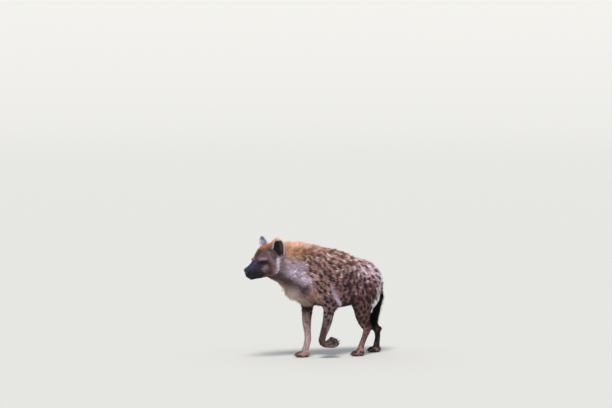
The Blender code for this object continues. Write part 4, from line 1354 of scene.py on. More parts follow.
def spottiness(points):
    """1 in the middle of a spot, 0 between spots."""
    edge = 0.22 * grain(points, 55, 31) + 0.12 * grain(points, 120, 32)
    edge += 0.30 * ramp(points[:, 2], 0.56, 0.70) * grain(points * [0.5, 1, 1], 75, 33)
    place, way, across, half_length, half_width = SPOTS
    darkest = np.zeros(len(points))
    for start in range(0, len(points), CHUNK):
        chunk = slice(start, start + CHUNK)
        off = points[chunk, None, :] - place[None]
        along = np.einsum("ijk,jk->ij", off, way) / half_length
        aside = np.einsum("ijk,jk->ij", off, across) / half_width
        away = np.einsum("ijk,ijk->ij", off, off) / (2.2 * half_length) ** 2
        distance = np.sqrt(along**2 + aside**2) + np.maximum(away - 1, 0)
        darkest[chunk] = 1 - ramp(distance.min(axis=1) + edge[chunk], 0.88, 1.20)
    return darkest * (1 - bare_of_spots(points))


print(len(SPOTS[0]), "spots")

# %% The colour of any place on the animal
BROWN, PALE = (0.120, 0.050, 0.046), (0.850, 0.660, 0.640)


def markings(points, normals):
    """The coat's colour at each place, in linear light."""
    colours = np.tile(np.array(BUFF), (len(points), 1))
    wobble = grain(points, 14, 21)
    lay(colours, points.copy(), TRUNK_PATCHES + LEG_PATCHES, wobble)
    mottle = 1 + 0.16 * grain(points, 20, 22) + 0.12 * grain(points * [1, 1, 0.5], 60, 23)
    colours *= mottle[:, None]
    streak = grain(points * [1, 1, 0.30], 34, 24)
    furry = ramp(points[:, 2], 0.40, 0.52) * ramp(points[:, 0], -0.16, -0.06)
    brown, pale = 0.50 * ramp(streak, 0.30, 0.9), 0.60 * ramp(-streak, 0.35, 1.0)
    for share, tone in ((brown, BROWN), (pale, PALE)):
        colours += (furry * share)[:, None] * (np.array(tone) - colours)
    dark = spottiness(points)[:, None]
    dark *= 0.96 - 0.20 * ramp(points[:, 2:], 0.60, 0.72)
    colours += dark * (np.array(SPOT_BROWN) - colours)
    ahead = head_places(points)
    on_head = ramp(ahead[:, 0], -0.085, -0.045)
    face = lay(colours.copy(), ahead, HEAD_PATCHES, wobble)
    colours += on_head[:, None] * (face - colours)
    for side in SIDES:
        colours = paint_ear(colours, points, normals, side)
    return np.clip(colours, 0.002, 0.9)


BARE_LIP = 0.0065  # to each side of the mouth
BARE_LID = 0.0016  # beyond the lid's own thickness
PAW_LOW, PAW_HIGH = (-0.045, -0.05, -0.045), (0.09, 0.05, np.inf)  # the space of a paw in its own frame


def bareness(points, normals):
    """1 on naked skin: the nose, the lips, the lids' edges and the paws' pads."""
    places = head_places(points)
    nose = ramp(places[:, 0], 0.230, 0.237) * ramp(places[:, 2], -0.030, -0.021)
    lip = near_line(points, lips[::3], BARE_LIP, 0.6)
    lid = near_eyes(points, EYE_RADIUS + LID + BARE_LID)
    bare = np.maximum.reduce([nose, lip, lid])
    for paw in PAWS:
        matrix = np.array(paw_frame(paw).to_3x3())
        local = (points - np.array(paw.knuckles)) @ matrix
        near = ((local > PAW_LOW) & (local < PAW_HIGH)).all(axis=1)
        under = ramp(-(normals @ matrix[:, 2]), 0.25, 0.6) * ramp(-local[:, 2], 0.006, 0.012)
        bare = np.maximum(bare, near * under)
    return bare


print("markings are ready")

# %% [markdown]
# ## The lie of the coat
#
# Hair lies away from the nose: back over the head and neck, back along the trunk,
# and down each leg. The rows of sections already run that way, so the lie at a
# place is the way of the nearest stretches of them, turned a little downward by
# gravity and laid flat on the skin.

# %% Which way hair lies
def lie_currents():
    """Short stretches of every limb: their middle, their way and their reach."""
    nose_to_nape = [Station(tuple(in_head(*s.place)), *s[1:]) for s in SKULL[::-1]]
    rows = [nose_to_nape, NECK[::-1], TRUNK, TAIL, FOLDED_WRIST, *LEGS]
    middles, ways, reaches = [], [], []
    for stations in rows:
        sections = [[*s.place, (s.side + s.front + s.back) / 3] for s in stations]
        path = smooth_rows(np.array(sections, float), 3)
        middles.append((path[1:, :3] + path[:-1, :3]) / 2)
        ways.append(path[1:, :3] - path[:-1, :3])
        reaches.append((path[1:, 3] + path[:-1, 3]) / 2)
    for paw in PAWS:
        toes = Vector(paw.toes).normalized()
        middles.append(np.array([Vector(paw.knuckles) + toes * step for step in (0.0, 0.03, 0.06)]))
        ways.append(np.array([toes] * 3))
        reaches.append(np.full(3, PAW_CURRENT))
    ways = np.vstack(ways)
    ways /= np.linalg.norm(ways, axis=1)[:, None]
    return np.vstack(middles), ways, np.concatenate(reaches) * CURRENT_REACH


PAW_CURRENT = 0.026
CURRENT_REACH = 1.25  # as a share of the limb's own half width
CURRENTS = lie_currents()
GRAVITY = 0.35


def lie(points, normals):
    """The way the hair lies at each place, along the skin."""
    middles, currents, reaches = CURRENTS
    ways = np.empty_like(points)
    for start in range(0, len(points), CHUNK):
        chunk = slice(start, start + CHUNK)
        off = np.linalg.norm(points[chunk, None] - middles[None], axis=2) / reaches
        weights = np.exp(-(off**2)) + 1e-9
        ways[chunk] = (weights @ currents) / weights.sum(axis=1)[:, None]
    trunk = ramp(points[:, 2], 0.36, 0.46) * (1 - ramp(head_places(points)[:, 0], -0.12, -0.06))
    ways[:, 2] -= GRAVITY * trunk
    for side in SIDES:
        up = np.array(ear_frame(side).to_3x3())[:, 2]
        share = on_ear(points, side)[:, None]
        ways += share * (up - ways)
    ways -= normals * (ways * normals).sum(axis=1)[:, None]
    size = np.linalg.norm(ways, axis=1)[:, None]
    spare = np.cross(normals, np.cross(np.array((0.4, 0.0, -1.0)), normals))
    ways = np.where(size > 0.05, ways / np.maximum(size, 1e-9), spare)
    return ways / np.linalg.norm(ways, axis=1)[:, None]


print(len(CURRENTS[0]), "stretches steer the hair")

# %% How long it is
CHEST = ((-0.25, 0.0, 0.550), (-0.17, 0.0, 0.470), (-0.12, 0.0, 0.405))
THROAT = ((-0.34, 0.0, 0.600), (-0.22, 0.0, 0.520), (-0.15, 0.0, 0.430))
BELLY = ((0.00, 0.0, 0.365), (0.36, 0.0, 0.380))
BACK = ((0.10, 0.0, 0.80), (0.50, 0.0, 0.72))
HAM = ((0.575, 0.07, 0.58), (0.52, 0.10, 0.42))
ELBOW = ((0.13, 0.13, 0.47), (0.13, 0.13, 0.41))
LEG_HAIR = 0.0095
TRUNK_HAIR_MORE = 0.0155
LONGER_HAIR = (  # along which line, how near it, and by how much
    (THROAT, 0.09, 0.010),
    (BELLY, 0.09, 0.008),
    (BACK, 0.10, 0.010),
    (HAM, 0.06, 0.008),
    (ELBOW, 0.05, 0.010),
)
HEAD_HAIRS = (  # length, and where it starts and is full, ahead of the head's pivot
    (0.0150, -0.10, -0.04),
    (0.0085, 0.01, 0.09),
    (0.0045, 0.10, 0.17),
)
SHORT_ON_PAWS_AND_EARS = 0.0065
ROUND_THE_EYES = 0.0038


def on_ears(points):
    return np.maximum(on_ear(points, -1), on_ear(points, 1))


def hair_length(points):
    """The coat's length at each place, in metres."""
    local = on_right(points)
    length = LEG_HAIR + TRUNK_HAIR_MORE * ramp(points[:, 2], 0.24, 0.50)
    for line, reach, more in LONGER_HAIR:
        length += more * near_line(local, line, reach)
    ahead = head_places(points)[:, 0]
    for head_hair, start, full in HEAD_HAIRS:
        length -= (length - head_hair) * ramp(ahead, start, full)
    length -= (length - SHORT_ON_PAWS_AND_EARS) * near_paw(points)
    length -= (length - SHORT_ON_PAWS_AND_EARS) * on_ears(points)
    length -= (length - ROUND_THE_EYES) * near_eyes(points, 0.030)
    return length


def hair_width(length):
    return 0.0007 + 0.135 * length


print("hair is", round(1000 * hair_length(FLANK)[0]), "mm long on the flank")

# %% [markdown]
# ## Growing tufts
#
# Every tuft is a closed blade of three sides that tapers to a point. It sets out
# along its heading and bends towards the lie, ring by ring. All tufts of a piece
# are worked out at once as arrays, which takes seconds where a loop would take
# many minutes. Each also gets a small patch of its own in the UV map, at its root's
# place on the unwrapped skin, so a baked texture colours it as the skin is there.

# %% Unwrap a plain copy of the skin
ATLAS_TRIANGLES = 6000


def unwrapped_copy():
    """A coarse copy of the skin with a UV map, to look roots up in."""
    copy = placed("unwrapped", skin.data.copy())
    copy.data.calc_loop_triangles()
    decimate = copy.modifiers.new("Coarse", "DECIMATE")
    decimate.ratio = ATLAS_TRIANGLES / len(copy.data.loop_triangles)
    decimate.use_collapse_triangulate = True
    apply_modifiers(copy)
    bpy.context.view_layer.objects.active = copy
    copy.select_set(True)
    bpy.ops.object.mode_set(mode="EDIT")
    bpy.ops.mesh.select_all(action="SELECT")
    bpy.ops.uv.smart_project(angle_limit=math.radians(66), island_margin=0.004)
    bpy.ops.object.mode_set(mode="OBJECT")
    places = points_of(copy)
    corners = np.empty(len(copy.data.loops), int)
    copy.data.loops.foreach_get("vertex_index", corners)
    uvs = np.empty(len(copy.data.loops) * 2)
    copy.data.uv_layers.active.data.foreach_get("uv", uvs)
    tree = BVHTree.FromObject(copy, bpy.context.evaluated_depsgraph_get())
    bpy.data.objects.remove(copy)
    return tree, places, corners.reshape(-1, 3), uvs.reshape(-1, 3, 2)


ATLAS = unwrapped_copy()


def places_on_atlas(points):
    """Each point's place on the unwrapped skin."""
    tree, places, corners, uvs = ATLAS
    faces = np.array([tree.find_nearest(Vector(p))[2] for p in points])
    a, b, c = (places[corners[faces, i]] for i in range(3))
    ab, ac, ap = b - a, c - a, points - a
    d00, d01, d11 = (ab * ab).sum(1), (ab * ac).sum(1), (ac * ac).sum(1)
    d20, d21 = (ap * ab).sum(1), (ap * ac).sum(1)
    scale = np.maximum(d00 * d11 - d01 * d01, 1e-18)
    v = np.clip((d11 * d20 - d01 * d21) / scale, 0, 1)
    w = np.clip((d00 * d21 - d01 * d20) / scale, 0, 1)
    shares = np.stack([np.clip(1 - v - w, 0, 1), v, w], axis=1)
    shares /= shares.sum(axis=1)[:, None]
    return (uvs[faces] * shares[:, :, None]).sum(axis=1)


print("the skin is unwrapped on", len(ATLAS[2]), "triangles")

# %% Blades
class Blade(NamedTuple):
    """The build of a tuft: the steps between its rings, and their widths."""

    steps: tuple
    shares: tuple
    flatness: float
    curl: float
    sunk: float


SHORT_HAIR = Blade(steps=(0, 0.50), shares=(0.80, 1.0), flatness=0.30, curl=0.0, sunk=0.0012)
LONG_LOCK = Blade(
    steps=(0, 0.32, 0.30, 0.20), shares=(0.70, 1.0, 0.85, 0.50), flatness=0.35, curl=0.22, sunk=0.004
)
EAR_HAIR = LONG_LOCK._replace(sunk=0.001)
WHISKER = LONG_LOCK._replace(sunk=0.001, flatness=0.8)
TUFT_GAP = 0.0003  # between a tuft and the floor
PATCH = 0.003  # the width of a tuft's place in the UV map


def unit(vectors):
    return vectors / np.maximum(np.linalg.norm(vectors, axis=1), 1e-12)[:, None]


class Growth(NamedTuple):
    """Everything that a set of tufts needs, one row each."""

    roots: np.ndarray
    headings: np.ndarray
    lies: np.ndarray
    faces: np.ndarray  # the way each blade's flat side looks
    lengths: np.ndarray
    widths: np.ndarray
    colours: np.ndarray


def blades(growth, build):
    """Vertices, faces and the share along the blade for all tufts at once."""
    heading = unit(growth.headings)
    place = growth.roots - heading * build.sunk
    length, width = growth.lengths[:, None], growth.widths[:, None]
    rings, along = [], []
    reached = 0.0
    for step, share in zip(build.steps, build.shares):
        place = place + heading * step * length
        reached += step
        aside = unit(np.cross(heading, growth.faces))
        top = np.cross(aside, heading)
        rings += [place + aside * width * share / 2, place - aside * width * share / 2]
        rings.append(place + top * width * share * build.flatness)
        along += [reached] * 3
        heading = unit(heading + growth.lies * build.curl)
    rings.append(place + heading * (1 - reached) * length)
    along.append(1.0)
    count = len(rings)
    vertices = np.stack(rings, axis=1).reshape(-1, 3)
    triangles = [(0, 1, 2)]
    for ring in range(len(build.steps) - 1):
        low, high = 3 * ring, 3 * ring + 3
        for i in range(3):
            j = (i + 1) % 3
            triangles += [(low + i, high + i, low + j), (low + j, high + i, high + j)]
    last = 3 * (len(build.steps) - 1)
    triangles += [(last + i, count - 1, last + (i + 1) % 3) for i in range(3)]
    faces = (np.arange(len(growth.roots))[:, None, None] * count + np.array(triangles)).reshape(-1, 3)
    return vertices, faces, np.tile(along, len(growth.roots)), count


def coat_piece(name, growth, build, rng):
    """One mesh object of tufts, with its colours and its UV map."""
    vertices, faces, along, count = blades(growth, build)
    vertices[:, 2] = np.maximum(vertices[:, 2], GROUND + TUFT_GAP)
    mesh = bpy.data.meshes.new(name)
    mesh.vertices.add(len(vertices))
    mesh.vertices.foreach_set("co", vertices.ravel())
    mesh.loops.add(len(faces) * 3)
    mesh.loops.foreach_set("vertex_index", faces.ravel())
    mesh.polygons.add(len(faces))
    mesh.polygons.foreach_set("loop_start", np.arange(0, len(faces) * 3, 3))
    mesh.update(calc_edges=True)
    mesh.polygons.foreach_set("use_smooth", np.ones(len(faces), bool))
    paint(mesh, "markings", np.repeat(growth.colours, count, axis=0))
    paint(mesh, "along", along)
    paint(mesh, "strand", np.repeat(rng.random(len(growth.roots)), count))
    centre = np.repeat(places_on_atlas(growth.roots), count, axis=0)
    ring_place = np.tile([*([-0.5, 0.5, 0.0] * len(build.steps)), 0.0], len(growth.roots))
    uv = centre + PATCH * np.stack([ring_place, along - 0.5], axis=1)
    layer = mesh.uv_layers.new(name="OFBake")
    layer.data.foreach_set("uv", np.clip(uv[faces.ravel()], 0, 1).ravel())
    return placed(name, mesh)


print("a short tuft has", 1 + 6 * (len(SHORT_HAIR.steps) - 1) + 3, "triangles")

# %% The short coat
TUFTS = 118_000
MOST_TRIANGLES = 195_000  # in one piece
TUFT_TRIANGLES = 10
HIDDEN_CORE = (0.56, 0.47, 0.03)  # behind, below and this near the middle the brush hides the coat
CORE_SHARE = 0.3
rng = np.random.default_rng(17)


def tuft_weight(points):
    """Tufts are as dense as their size asks, fewer where hair is very short."""
    length = hair_length(points)
    weight = (0.40 + 0.60 * ramp(length, 0.006, 0.020)) / (length * hair_width(length))
    return weight * np.where(in_core(points, HIDDEN_CORE), CORE_SHARE, 1)


def lift(points):
    """How far the coat stands off the skin, as a slope."""
    local = on_right(points)
    slope = 0.24 + 0.14 * near_line(local, BACK, 0.10) + 0.12 * near_line(local, THROAT, 0.10)
    sleek = np.maximum(on_ears(points), ramp(head_places(points)[:, 0], 0.02, 0.12))
    return slope - (slope - 0.20) * sleek


CLUMP_SIZE = 0.62  # of the hair's length
CLUMP_TRIES = 30_000
CLUMP_SHADES = 0.20
PALE_CLUMPS = 0.20  # share of the clumps on the back that are made paler
PALE_CLUMP_LIGHTNESS = 1.75


def gather(roots):
    """Sets each root to the nearest clump. Gives where the root is from its middle,
    how far that is as a share of the clump, and the clump's own shade."""
    tries = sample_skin(CLUMP_TRIES, everywhere, rng).points
    wanted = SKIN_AREAS.sum() / CLUMP_TRIES / (CLUMP_SIZE * hair_length(tries)) ** 2
    middles = tries[rng.random(CLUMP_TRIES) < wanted]
    tree = KDTree(len(middles))
    for i, middle in enumerate(middles):
        tree.insert(middle, i)
    tree.balance()
    nearest = np.array([tree.find(root)[1] for root in roots])
    off = roots - middles[nearest]
    share = np.clip(np.linalg.norm(off, axis=1) / (CLUMP_SIZE * hair_length(roots)), 0, 1.2)
    shade = np.exp(rng.normal(0, CLUMP_SHADES, len(middles)))
    back = ramp(middles[:, 2], 0.52, 0.66) * ramp(middles[:, 0], -0.02, 0.10)
    shade *= np.where(rng.random(len(middles)) < PALE_CLUMPS * back, PALE_CLUMP_LIGHTNESS, 1)
    print(len(middles), "clumps")
    return off, share, shade[nearest]


def short_coat(count):
    found = sample_skin(count, tuft_weight, rng)
    keep = rng.random(len(found.points)) > 1.2 * bareness(found.points, found.normals)
    roots, normals = found.points[keep], found.normals[keep]
    off, share, shade = gather(roots)
    way = unit(lie(roots, normals) + rng.normal(size=roots.shape) * 0.12)
    slope = lift(roots) * rng.uniform(0.5, 1.5, len(roots))
    length = hair_length(roots) * rng.uniform(0.72, 1.22, len(roots))
    heading = unit(way + normals * slope[:, None] - 0.55 * off / length[:, None])
    face = unit(normals + rng.normal(size=roots.shape) * 0.22)
    # Painted light and shade on each clump: lighter near its middle, as if lit on top, and darker towards
    # its edges, as painted shade in the gaps between clumps.
    shade = shade * (1.16 - 0.42 * share)
    colours = np.clip(markings(roots, normals) * shade[:, None], 0.002, 0.95)
    return Growth(roots, heading, way, face, length, hair_width(length), colours)


REGIONS = ("head", "neck", "trunk", "forelegs", "hindlegs")


def region_of(points):
    """The number of each place's region in REGIONS."""
    region = np.where(points[:, 2] > 0.42, 2, np.where(points[:, 0] < 0.22, 3, 4))
    region = np.where((points[:, 0] < -0.12) & (points[:, 2] > 0.42), 1, region)
    return np.where(head_places(points)[:, 0] > -0.05, 0, region)


def rows_of(growth, chosen):
    return Growth(*(column[chosen] for column in growth))


coat = []
all_short = short_coat(TUFTS)
labels = region_of(all_short.roots)
for number, region in enumerate(REGIONS):
    rows = np.nonzero(labels == number)[0]
    rows = rows[np.argsort(all_short.roots[rows, 0])]
    parts = max(1, math.ceil(len(rows) * TUFT_TRIANGLES / MOST_TRIANGLES))
    for part, chosen in enumerate(np.array_split(rows, parts)):
        piece = coat_piece(f"coat_{region}_{part + 1}", rows_of(all_short, chosen), SHORT_HAIR, rng)
        coat.append((piece, "face" if region == "head" else "coat"))
    print("coat of the", region, "has", len(rows), "tufts")

# %% [markdown]
# ## Crest, crown, tail and fringes
#
# Long hair is built from locks of more rings, so each can bend. The crest stands on
# the neck and is laid further back towards the loins. The tail ends in a brush that
# hangs from its lower two thirds.

# %% The crest
CREST_LOCKS = 5600
CREST_REACH = (-0.385, 0.300)
CREST_HALF_WIDTH = 0.064
NAPE = -0.335  # ahead of it the crest is narrow, between the ears
CREST_BROWN, CREST_GINGER = (0.10, 0.048, 0.032), (0.50, 0.200, 0.070)
SURFACE = BVHTree.FromObject(skin, bpy.context.evaluated_depsgraph_get())


def crest_height(x):
    """Length of the crest's hair: long on the neck and short behind the withers."""
    return 0.066 - 0.020 * ramp(x, -0.06, 0.22)


def crest_growth(count):
    """Locks over the ridge of the neck, thickest along its middle."""
    x = rng.uniform(*CREST_REACH, count)
    across = np.clip(rng.normal(0, 0.5, count), -1, 1)
    y = across * CREST_HALF_WIDTH * (0.45 + 0.55 * ramp(x, NAPE - 0.02, NAPE + 0.03))
    hits = [SURFACE.ray_cast(Vector((a, b, 2.0)), -UP) for a, b in zip(x, y)]
    roots = np.array([hit[0] for hit in hits])
    normals = np.array([hit[1] for hit in hits])
    back = ramp(x, -0.24, 0.12)
    lean = -0.10 + back + 0.35 * (1 - ramp(x, NAPE - 0.02, NAPE + 0.02))
    heading = np.stack([lean, 0.42 * across, 1.0 - 0.52 * back], axis=1)
    heading = unit(heading + rng.normal(size=roots.shape) * 0.10)
    lies = unit(np.stack([0.75 + 0.25 * back, 0.55 * across, 0.25 - 0.65 * back], axis=1))
    edge = 1 - 0.45 * across**2
    start, stop = CREST_REACH
    ends = ramp(x, start, start + 0.04) * (1 - 0.5 * ramp(x, stop - 0.08, stop))
    shaggy = 1 + 0.16 * grain(roots * [1, 0.4, 0], 26, 44)
    lengths = crest_height(x) * shaggy * edge * (0.45 + 0.55 * ends) * rng.uniform(0.68, 1.20, count)
    aside = np.sign(across + 1e-6)
    faces = unit(np.stack([rng.normal(0, 0.5, count), aside, np.full(count, 0.4)], axis=1))
    widths = rng.uniform(0.0028, 0.0046, count)
    return Growth(roots, heading, lies, faces, lengths, widths, crest_colours(roots, normals))


def crest_colours(roots, normals):
    """Ginger streaks on the neck, and brown clumps, most from the withers back."""
    colours = markings(roots, normals)
    clump = grain(roots * [1, 0.6, 0.4], 9, 41) + 0.5 * grain(roots, 26, 42)
    dark = ramp(clump, 0.10, 0.55) * (0.22 + 0.55 * ramp(roots[:, 0], -0.08, 0.10))
    colours += dark[:, None] * (np.array(CREST_BROWN) - colours)
    warm = 0.65 * ramp(grain(roots * [1, 0.8, 0.3], 24, 43), 0.0, 0.8) * (1 - dark)
    colours += warm[:, None] * (np.array(CREST_GINGER) - colours)
    return colours


coat.append((coat_piece("crest_locks", crest_growth(CREST_LOCKS), LONG_LOCK, rng), "coat"))
print(CREST_LOCKS, "locks in the crest")

# %% The crown and the fringes
class Fringe(NamedTuple):
    """Longer hair near a line: its locks, where they grow, their length, how far they
    stand off, their width and how far they stray."""

    locks: int
    line: tuple
    reach: float
    length: float
    slope: float
    width: float
    spread: float


def fringe_growth(fringe, mirrored):
    """A fringe's locks, with its line given for the side at +Y where it is mirrored."""
    def weight(points):
        return near_line(on_right(points) if mirrored else points, fringe.line, fringe.reach)

    count = fringe.locks // few
    roots, normals = sample_skin(count, weight, rng)
    way = unit(lie(roots, normals) + rng.normal(size=roots.shape) * fringe.spread)
    heading = unit(way + normals * (fringe.slope * rng.uniform(0.6, 1.4, count))[:, None])
    lengths = fringe.length * rng.uniform(0.65, 1.2, count)
    face = unit(normals + rng.normal(size=roots.shape) * 0.3)
    widths = np.full(count, fringe.width)
    return Growth(roots, heading, way, face, lengths, widths, markings(roots, normals))


def head_line(*places):
    """A line given in the head's frame, on the middle plane, in the body's frame."""
    return [tuple(in_head(*place)) for place in places]


few = 1
CROWN = head_line((-0.075, 0, 0.10), (-0.02, 0, 0.12), (0.05, 0, 0.10))
FRINGES = {
    "crown_hair": Fringe(1500, CROWN, 0.055, 0.020, 0.50, 0.0026, 0.20),
    "chest_fringe": Fringe(2200, CHEST, 0.075, 0.056, 0.70, 0.0036, 0.22),
    "belly_fringe": Fringe(900, BELLY, 0.070, 0.034, 0.22, 0.0036, 0.15),
    "elbow_fringe": Fringe(900, ELBOW, 0.048, 0.040, 0.34, 0.0034, 0.18),
    "ham_fringe": Fringe(1100, HAM, 0.050, 0.034, 0.30, 0.0034, 0.14),
}
grown = {name: fringe_growth(fringe, name != "crown_hair") for name, fringe in FRINGES.items()}
for name, growth in grown.items():
    coat.append((coat_piece(name, growth, LONG_LOCK, rng), "face" if name == "crown_hair" else "coat"))
    print(name, "has", len(growth.roots), "locks")

# %% The tail's brush
BRUSH_LOCKS = 2300
BRUSH_REACH = (0.36, 0.985)  # along the tail
BRUSH_BLACK = (0.005, 0.0035, 0.004)


def brush_growth(count):
    path = smooth_rows(np.array([s.place for s in TAIL], float), 24)
    at = rng.uniform(*BRUSH_REACH, count) * (len(path) - 2)
    low = path[at.astype(int)]
    down = unit(path[at.astype(int) + 1] - low)
    turn = rng.uniform(0, 2 * math.pi, count)
    out = np.stack([np.cos(turn), np.sin(turn), np.full(count, 0.15)], axis=1)
    roots = low + out * 0.004
    heading = unit(down + out * rng.uniform(0.16, 0.58, count)[:, None])
    lengths = rng.uniform(0.075, 0.118, count)
    colours = np.tile(BRUSH_BLACK, (count, 1)) * rng.uniform(0.6, 1.6, (count, 1))
    return Growth(roots, heading, down, out, lengths, rng.uniform(0.003, 0.0048, count), colours)


coat.append((coat_piece("tail_brush", brush_growth(BRUSH_LOCKS), LONG_LOCK, rng), "brush"))
print(BRUSH_LOCKS, "locks in the brush")

# %% Hair round the ears, and whiskers
EAR_HAIRS = 700  # on each ear


def ear_fringe(count):
    """Fine hair along each ear's rim, longer low on the ear than at its tip."""
    made = []
    for side in SIDES:
        matrix = ear_frame(side)
        level = rng.uniform(0.0, 1.0, count)
        up = 0.010 + 0.114 * level
        half = np.interp(up, [e.up for e in EAR], [e.half for e in EAR]) - EAR_TUCK
        cup = np.interp(up, [e.up for e in EAR], [e.cup for e in EAR])
        edge = np.where(rng.random(count) < 0.5, -1, 1)
        angle = np.radians(rng.uniform(62, 77, count)) * edge
        across = (half - 0.002) * np.sin(angle)
        out = EAR_LEAN * up - cup * np.cos(angle) * 0.9 + 0.001
        own = np.stack([across, out, up], axis=1)
        forward, upward = rng.uniform(0.5, 1.1, count), rng.uniform(0.5, 1.2, count)
        inward = np.stack([-0.55 * edge, forward, upward], axis=1)
        turn = np.array(matrix.to_3x3())
        roots = own @ turn.T + np.array(matrix.translation)
        heading = unit(inward) @ turn.T
        lies = np.tile(turn[:, 2], (count, 1))
        faces = np.tile(turn[:, 1], (count, 1)) + rng.normal(size=(count, 3)) * 0.4
        rim = np.array(EAR_COLOURS[side].rim) * rng.uniform(0.6, 1.15, (count, 1))
        lengths = rng.uniform(0.006, 0.012, count) * (1.35 - 0.6 * level)
        made.append(Growth(roots, heading, lies, unit(faces), lengths, np.full(count, 0.0013), rim))
    return Growth(*(np.concatenate(columns) for columns in zip(*made)))


WHISKER_ROWS, WHISKERS_A_ROW = 4, 5
WHISKER_WIDTH = 0.0008


def whisker_growth():
    """Four rows of whiskers on each side of the muzzle."""
    made = []
    for side in SIDES:
        for row in range(WHISKER_ROWS):
            for step in range(WHISKERS_A_ROW):
                ahead = 0.212 - 0.011 * step + rng.uniform(-0.002, 0.002)
                above = -0.018 - 0.0085 * row + 0.0012 * step
                root, normal = SURFACE.find_nearest(in_head(ahead, 0.055 * side, above))[:2]
                heading = 1.5 * normal + head_way(-0.6, 0, -0.35) + Vector(rng.normal(0, 0.10, 3))
                made.append((root, heading, 0.045 + 0.008 * step + rng.uniform(0, 0.010)))
    roots, headings = (np.array([row[i] for row in made]) for i in (0, 1))
    lengths = np.array([row[2] for row in made])
    count = len(made)
    fall = np.tile(head_way(-0.6, 0, -0.8), (count, 1))
    faces = unit(np.cross(headings, fall))
    colours = np.full((count, 3), 0.012)
    return Growth(roots, unit(headings), fall, faces, lengths, np.full(count, WHISKER_WIDTH), colours)


whiskers = whisker_growth()
coat.append((coat_piece("whiskers", whiskers, WHISKER, rng), "brush"))
print(len(whiskers.roots), "whiskers")
coat.append((coat_piece("ear_fringe", ear_fringe(EAR_HAIRS // few), EAR_HAIR, rng), "ear"))
print(2 * (EAR_HAIRS // few), "hairs along the ears' rims")

# %% [markdown]
# ## Materials
#
# Skin, short coat and locks all take their colour from the markings painted on
# their points. Two node groups give them life. One makes hair: darker at the root,
# as painted shade down in the coat, lighter at the tip, as a painted highlight, and
# different from strand to strand. The other makes the grain of skin: fine pores and
# creases, and streaks where the coat lies over it.

# %% Helpers for nodes
def new_group(name, inputs, outputs):
    """A node group with named sockets, and its two end nodes."""
    group = bpy.data.node_groups.new(name, "ShaderNodeTree")
    for label, kind, value in inputs:
        socket = group.interface.new_socket(label, in_out="INPUT", socket_type=kind)
        if value is not None:
            socket.default_value = value
    for label, kind in outputs:
        group.interface.new_socket(label, in_out="OUTPUT", socket_type=kind)
    return group, group.nodes.new("NodeGroupInput"), group.nodes.new("NodeGroupOutput")


def math_node(tree, operation, a, b=None):
    node = tree.nodes.new("ShaderNodeMath")
    node.operation = operation
    for socket, value in zip(node.inputs, (a, b)):
        if value is None:
            continue
        if isinstance(value, bpy.types.NodeSocket):
            tree.links.new(value, socket)
        else:
            socket.default_value = value
    return node.outputs[0]


def scale_colour(tree, colour, factor):
    """A colour made lighter or darker by a factor."""
    node = tree.nodes.new("ShaderNodeVectorMath")
    node.operation = "SCALE"
    tree.links.new(colour, node.inputs[0])
    tree.links.new(factor, node.inputs["Scale"])
    return node.outputs[0]


def noise(tree, vector, scale, detail=3.0, roughness=0.6):
    node = tree.nodes.new("ShaderNodeTexNoise")
    node.inputs["Scale"].default_value = scale
    node.inputs["Detail"].default_value = detail
    node.inputs["Roughness"].default_value = roughness
    tree.links.new(vector, node.inputs["Vector"])
    return node.outputs[0]


RANGE_SOCKETS = ("From Min", "From Max", "To Min", "To Max")


def map_range(tree, value, low, high, to_low, to_high):
    node = tree.nodes.new("ShaderNodeMapRange")
    tree.links.new(value, node.inputs["Value"])
    for label, number in zip(RANGE_SOCKETS, (low, high, to_low, to_high)):
        node.inputs[label].default_value = number
    return node.outputs[0]


def colour_stops(tree, value, stops):
    """A colour that follows a value from stop to stop, each a place and a colour."""
    node = tree.nodes.new("ShaderNodeValToRGB")
    tree.links.new(value, node.inputs[0])
    elements = node.color_ramp.elements
    for i, (at, colour) in enumerate(stops):
        stop = elements[i] if i < 2 else elements.new(at)  # a new ramp has two
        stop.position = at
        stop.color = (*colour, 1)
    return node.outputs["Color"]


def new_material(name):
    """A material, its node tree and its Principled shader."""
    material = bpy.data.materials.new(name)
    material.use_nodes = True
    tree = material.node_tree
    return material, tree, tree.nodes["Principled BSDF"]


def object_place(tree):
    return tree.nodes.new("ShaderNodeTexCoord").outputs["Object"]


print("node helpers are ready")

# %% The hair group
SURFACE_SOCKETS = [
    ("Color", "NodeSocketColor"),
    ("Roughness", "NodeSocketFloat"),
    ("Height", "NodeSocketFloat"),
]


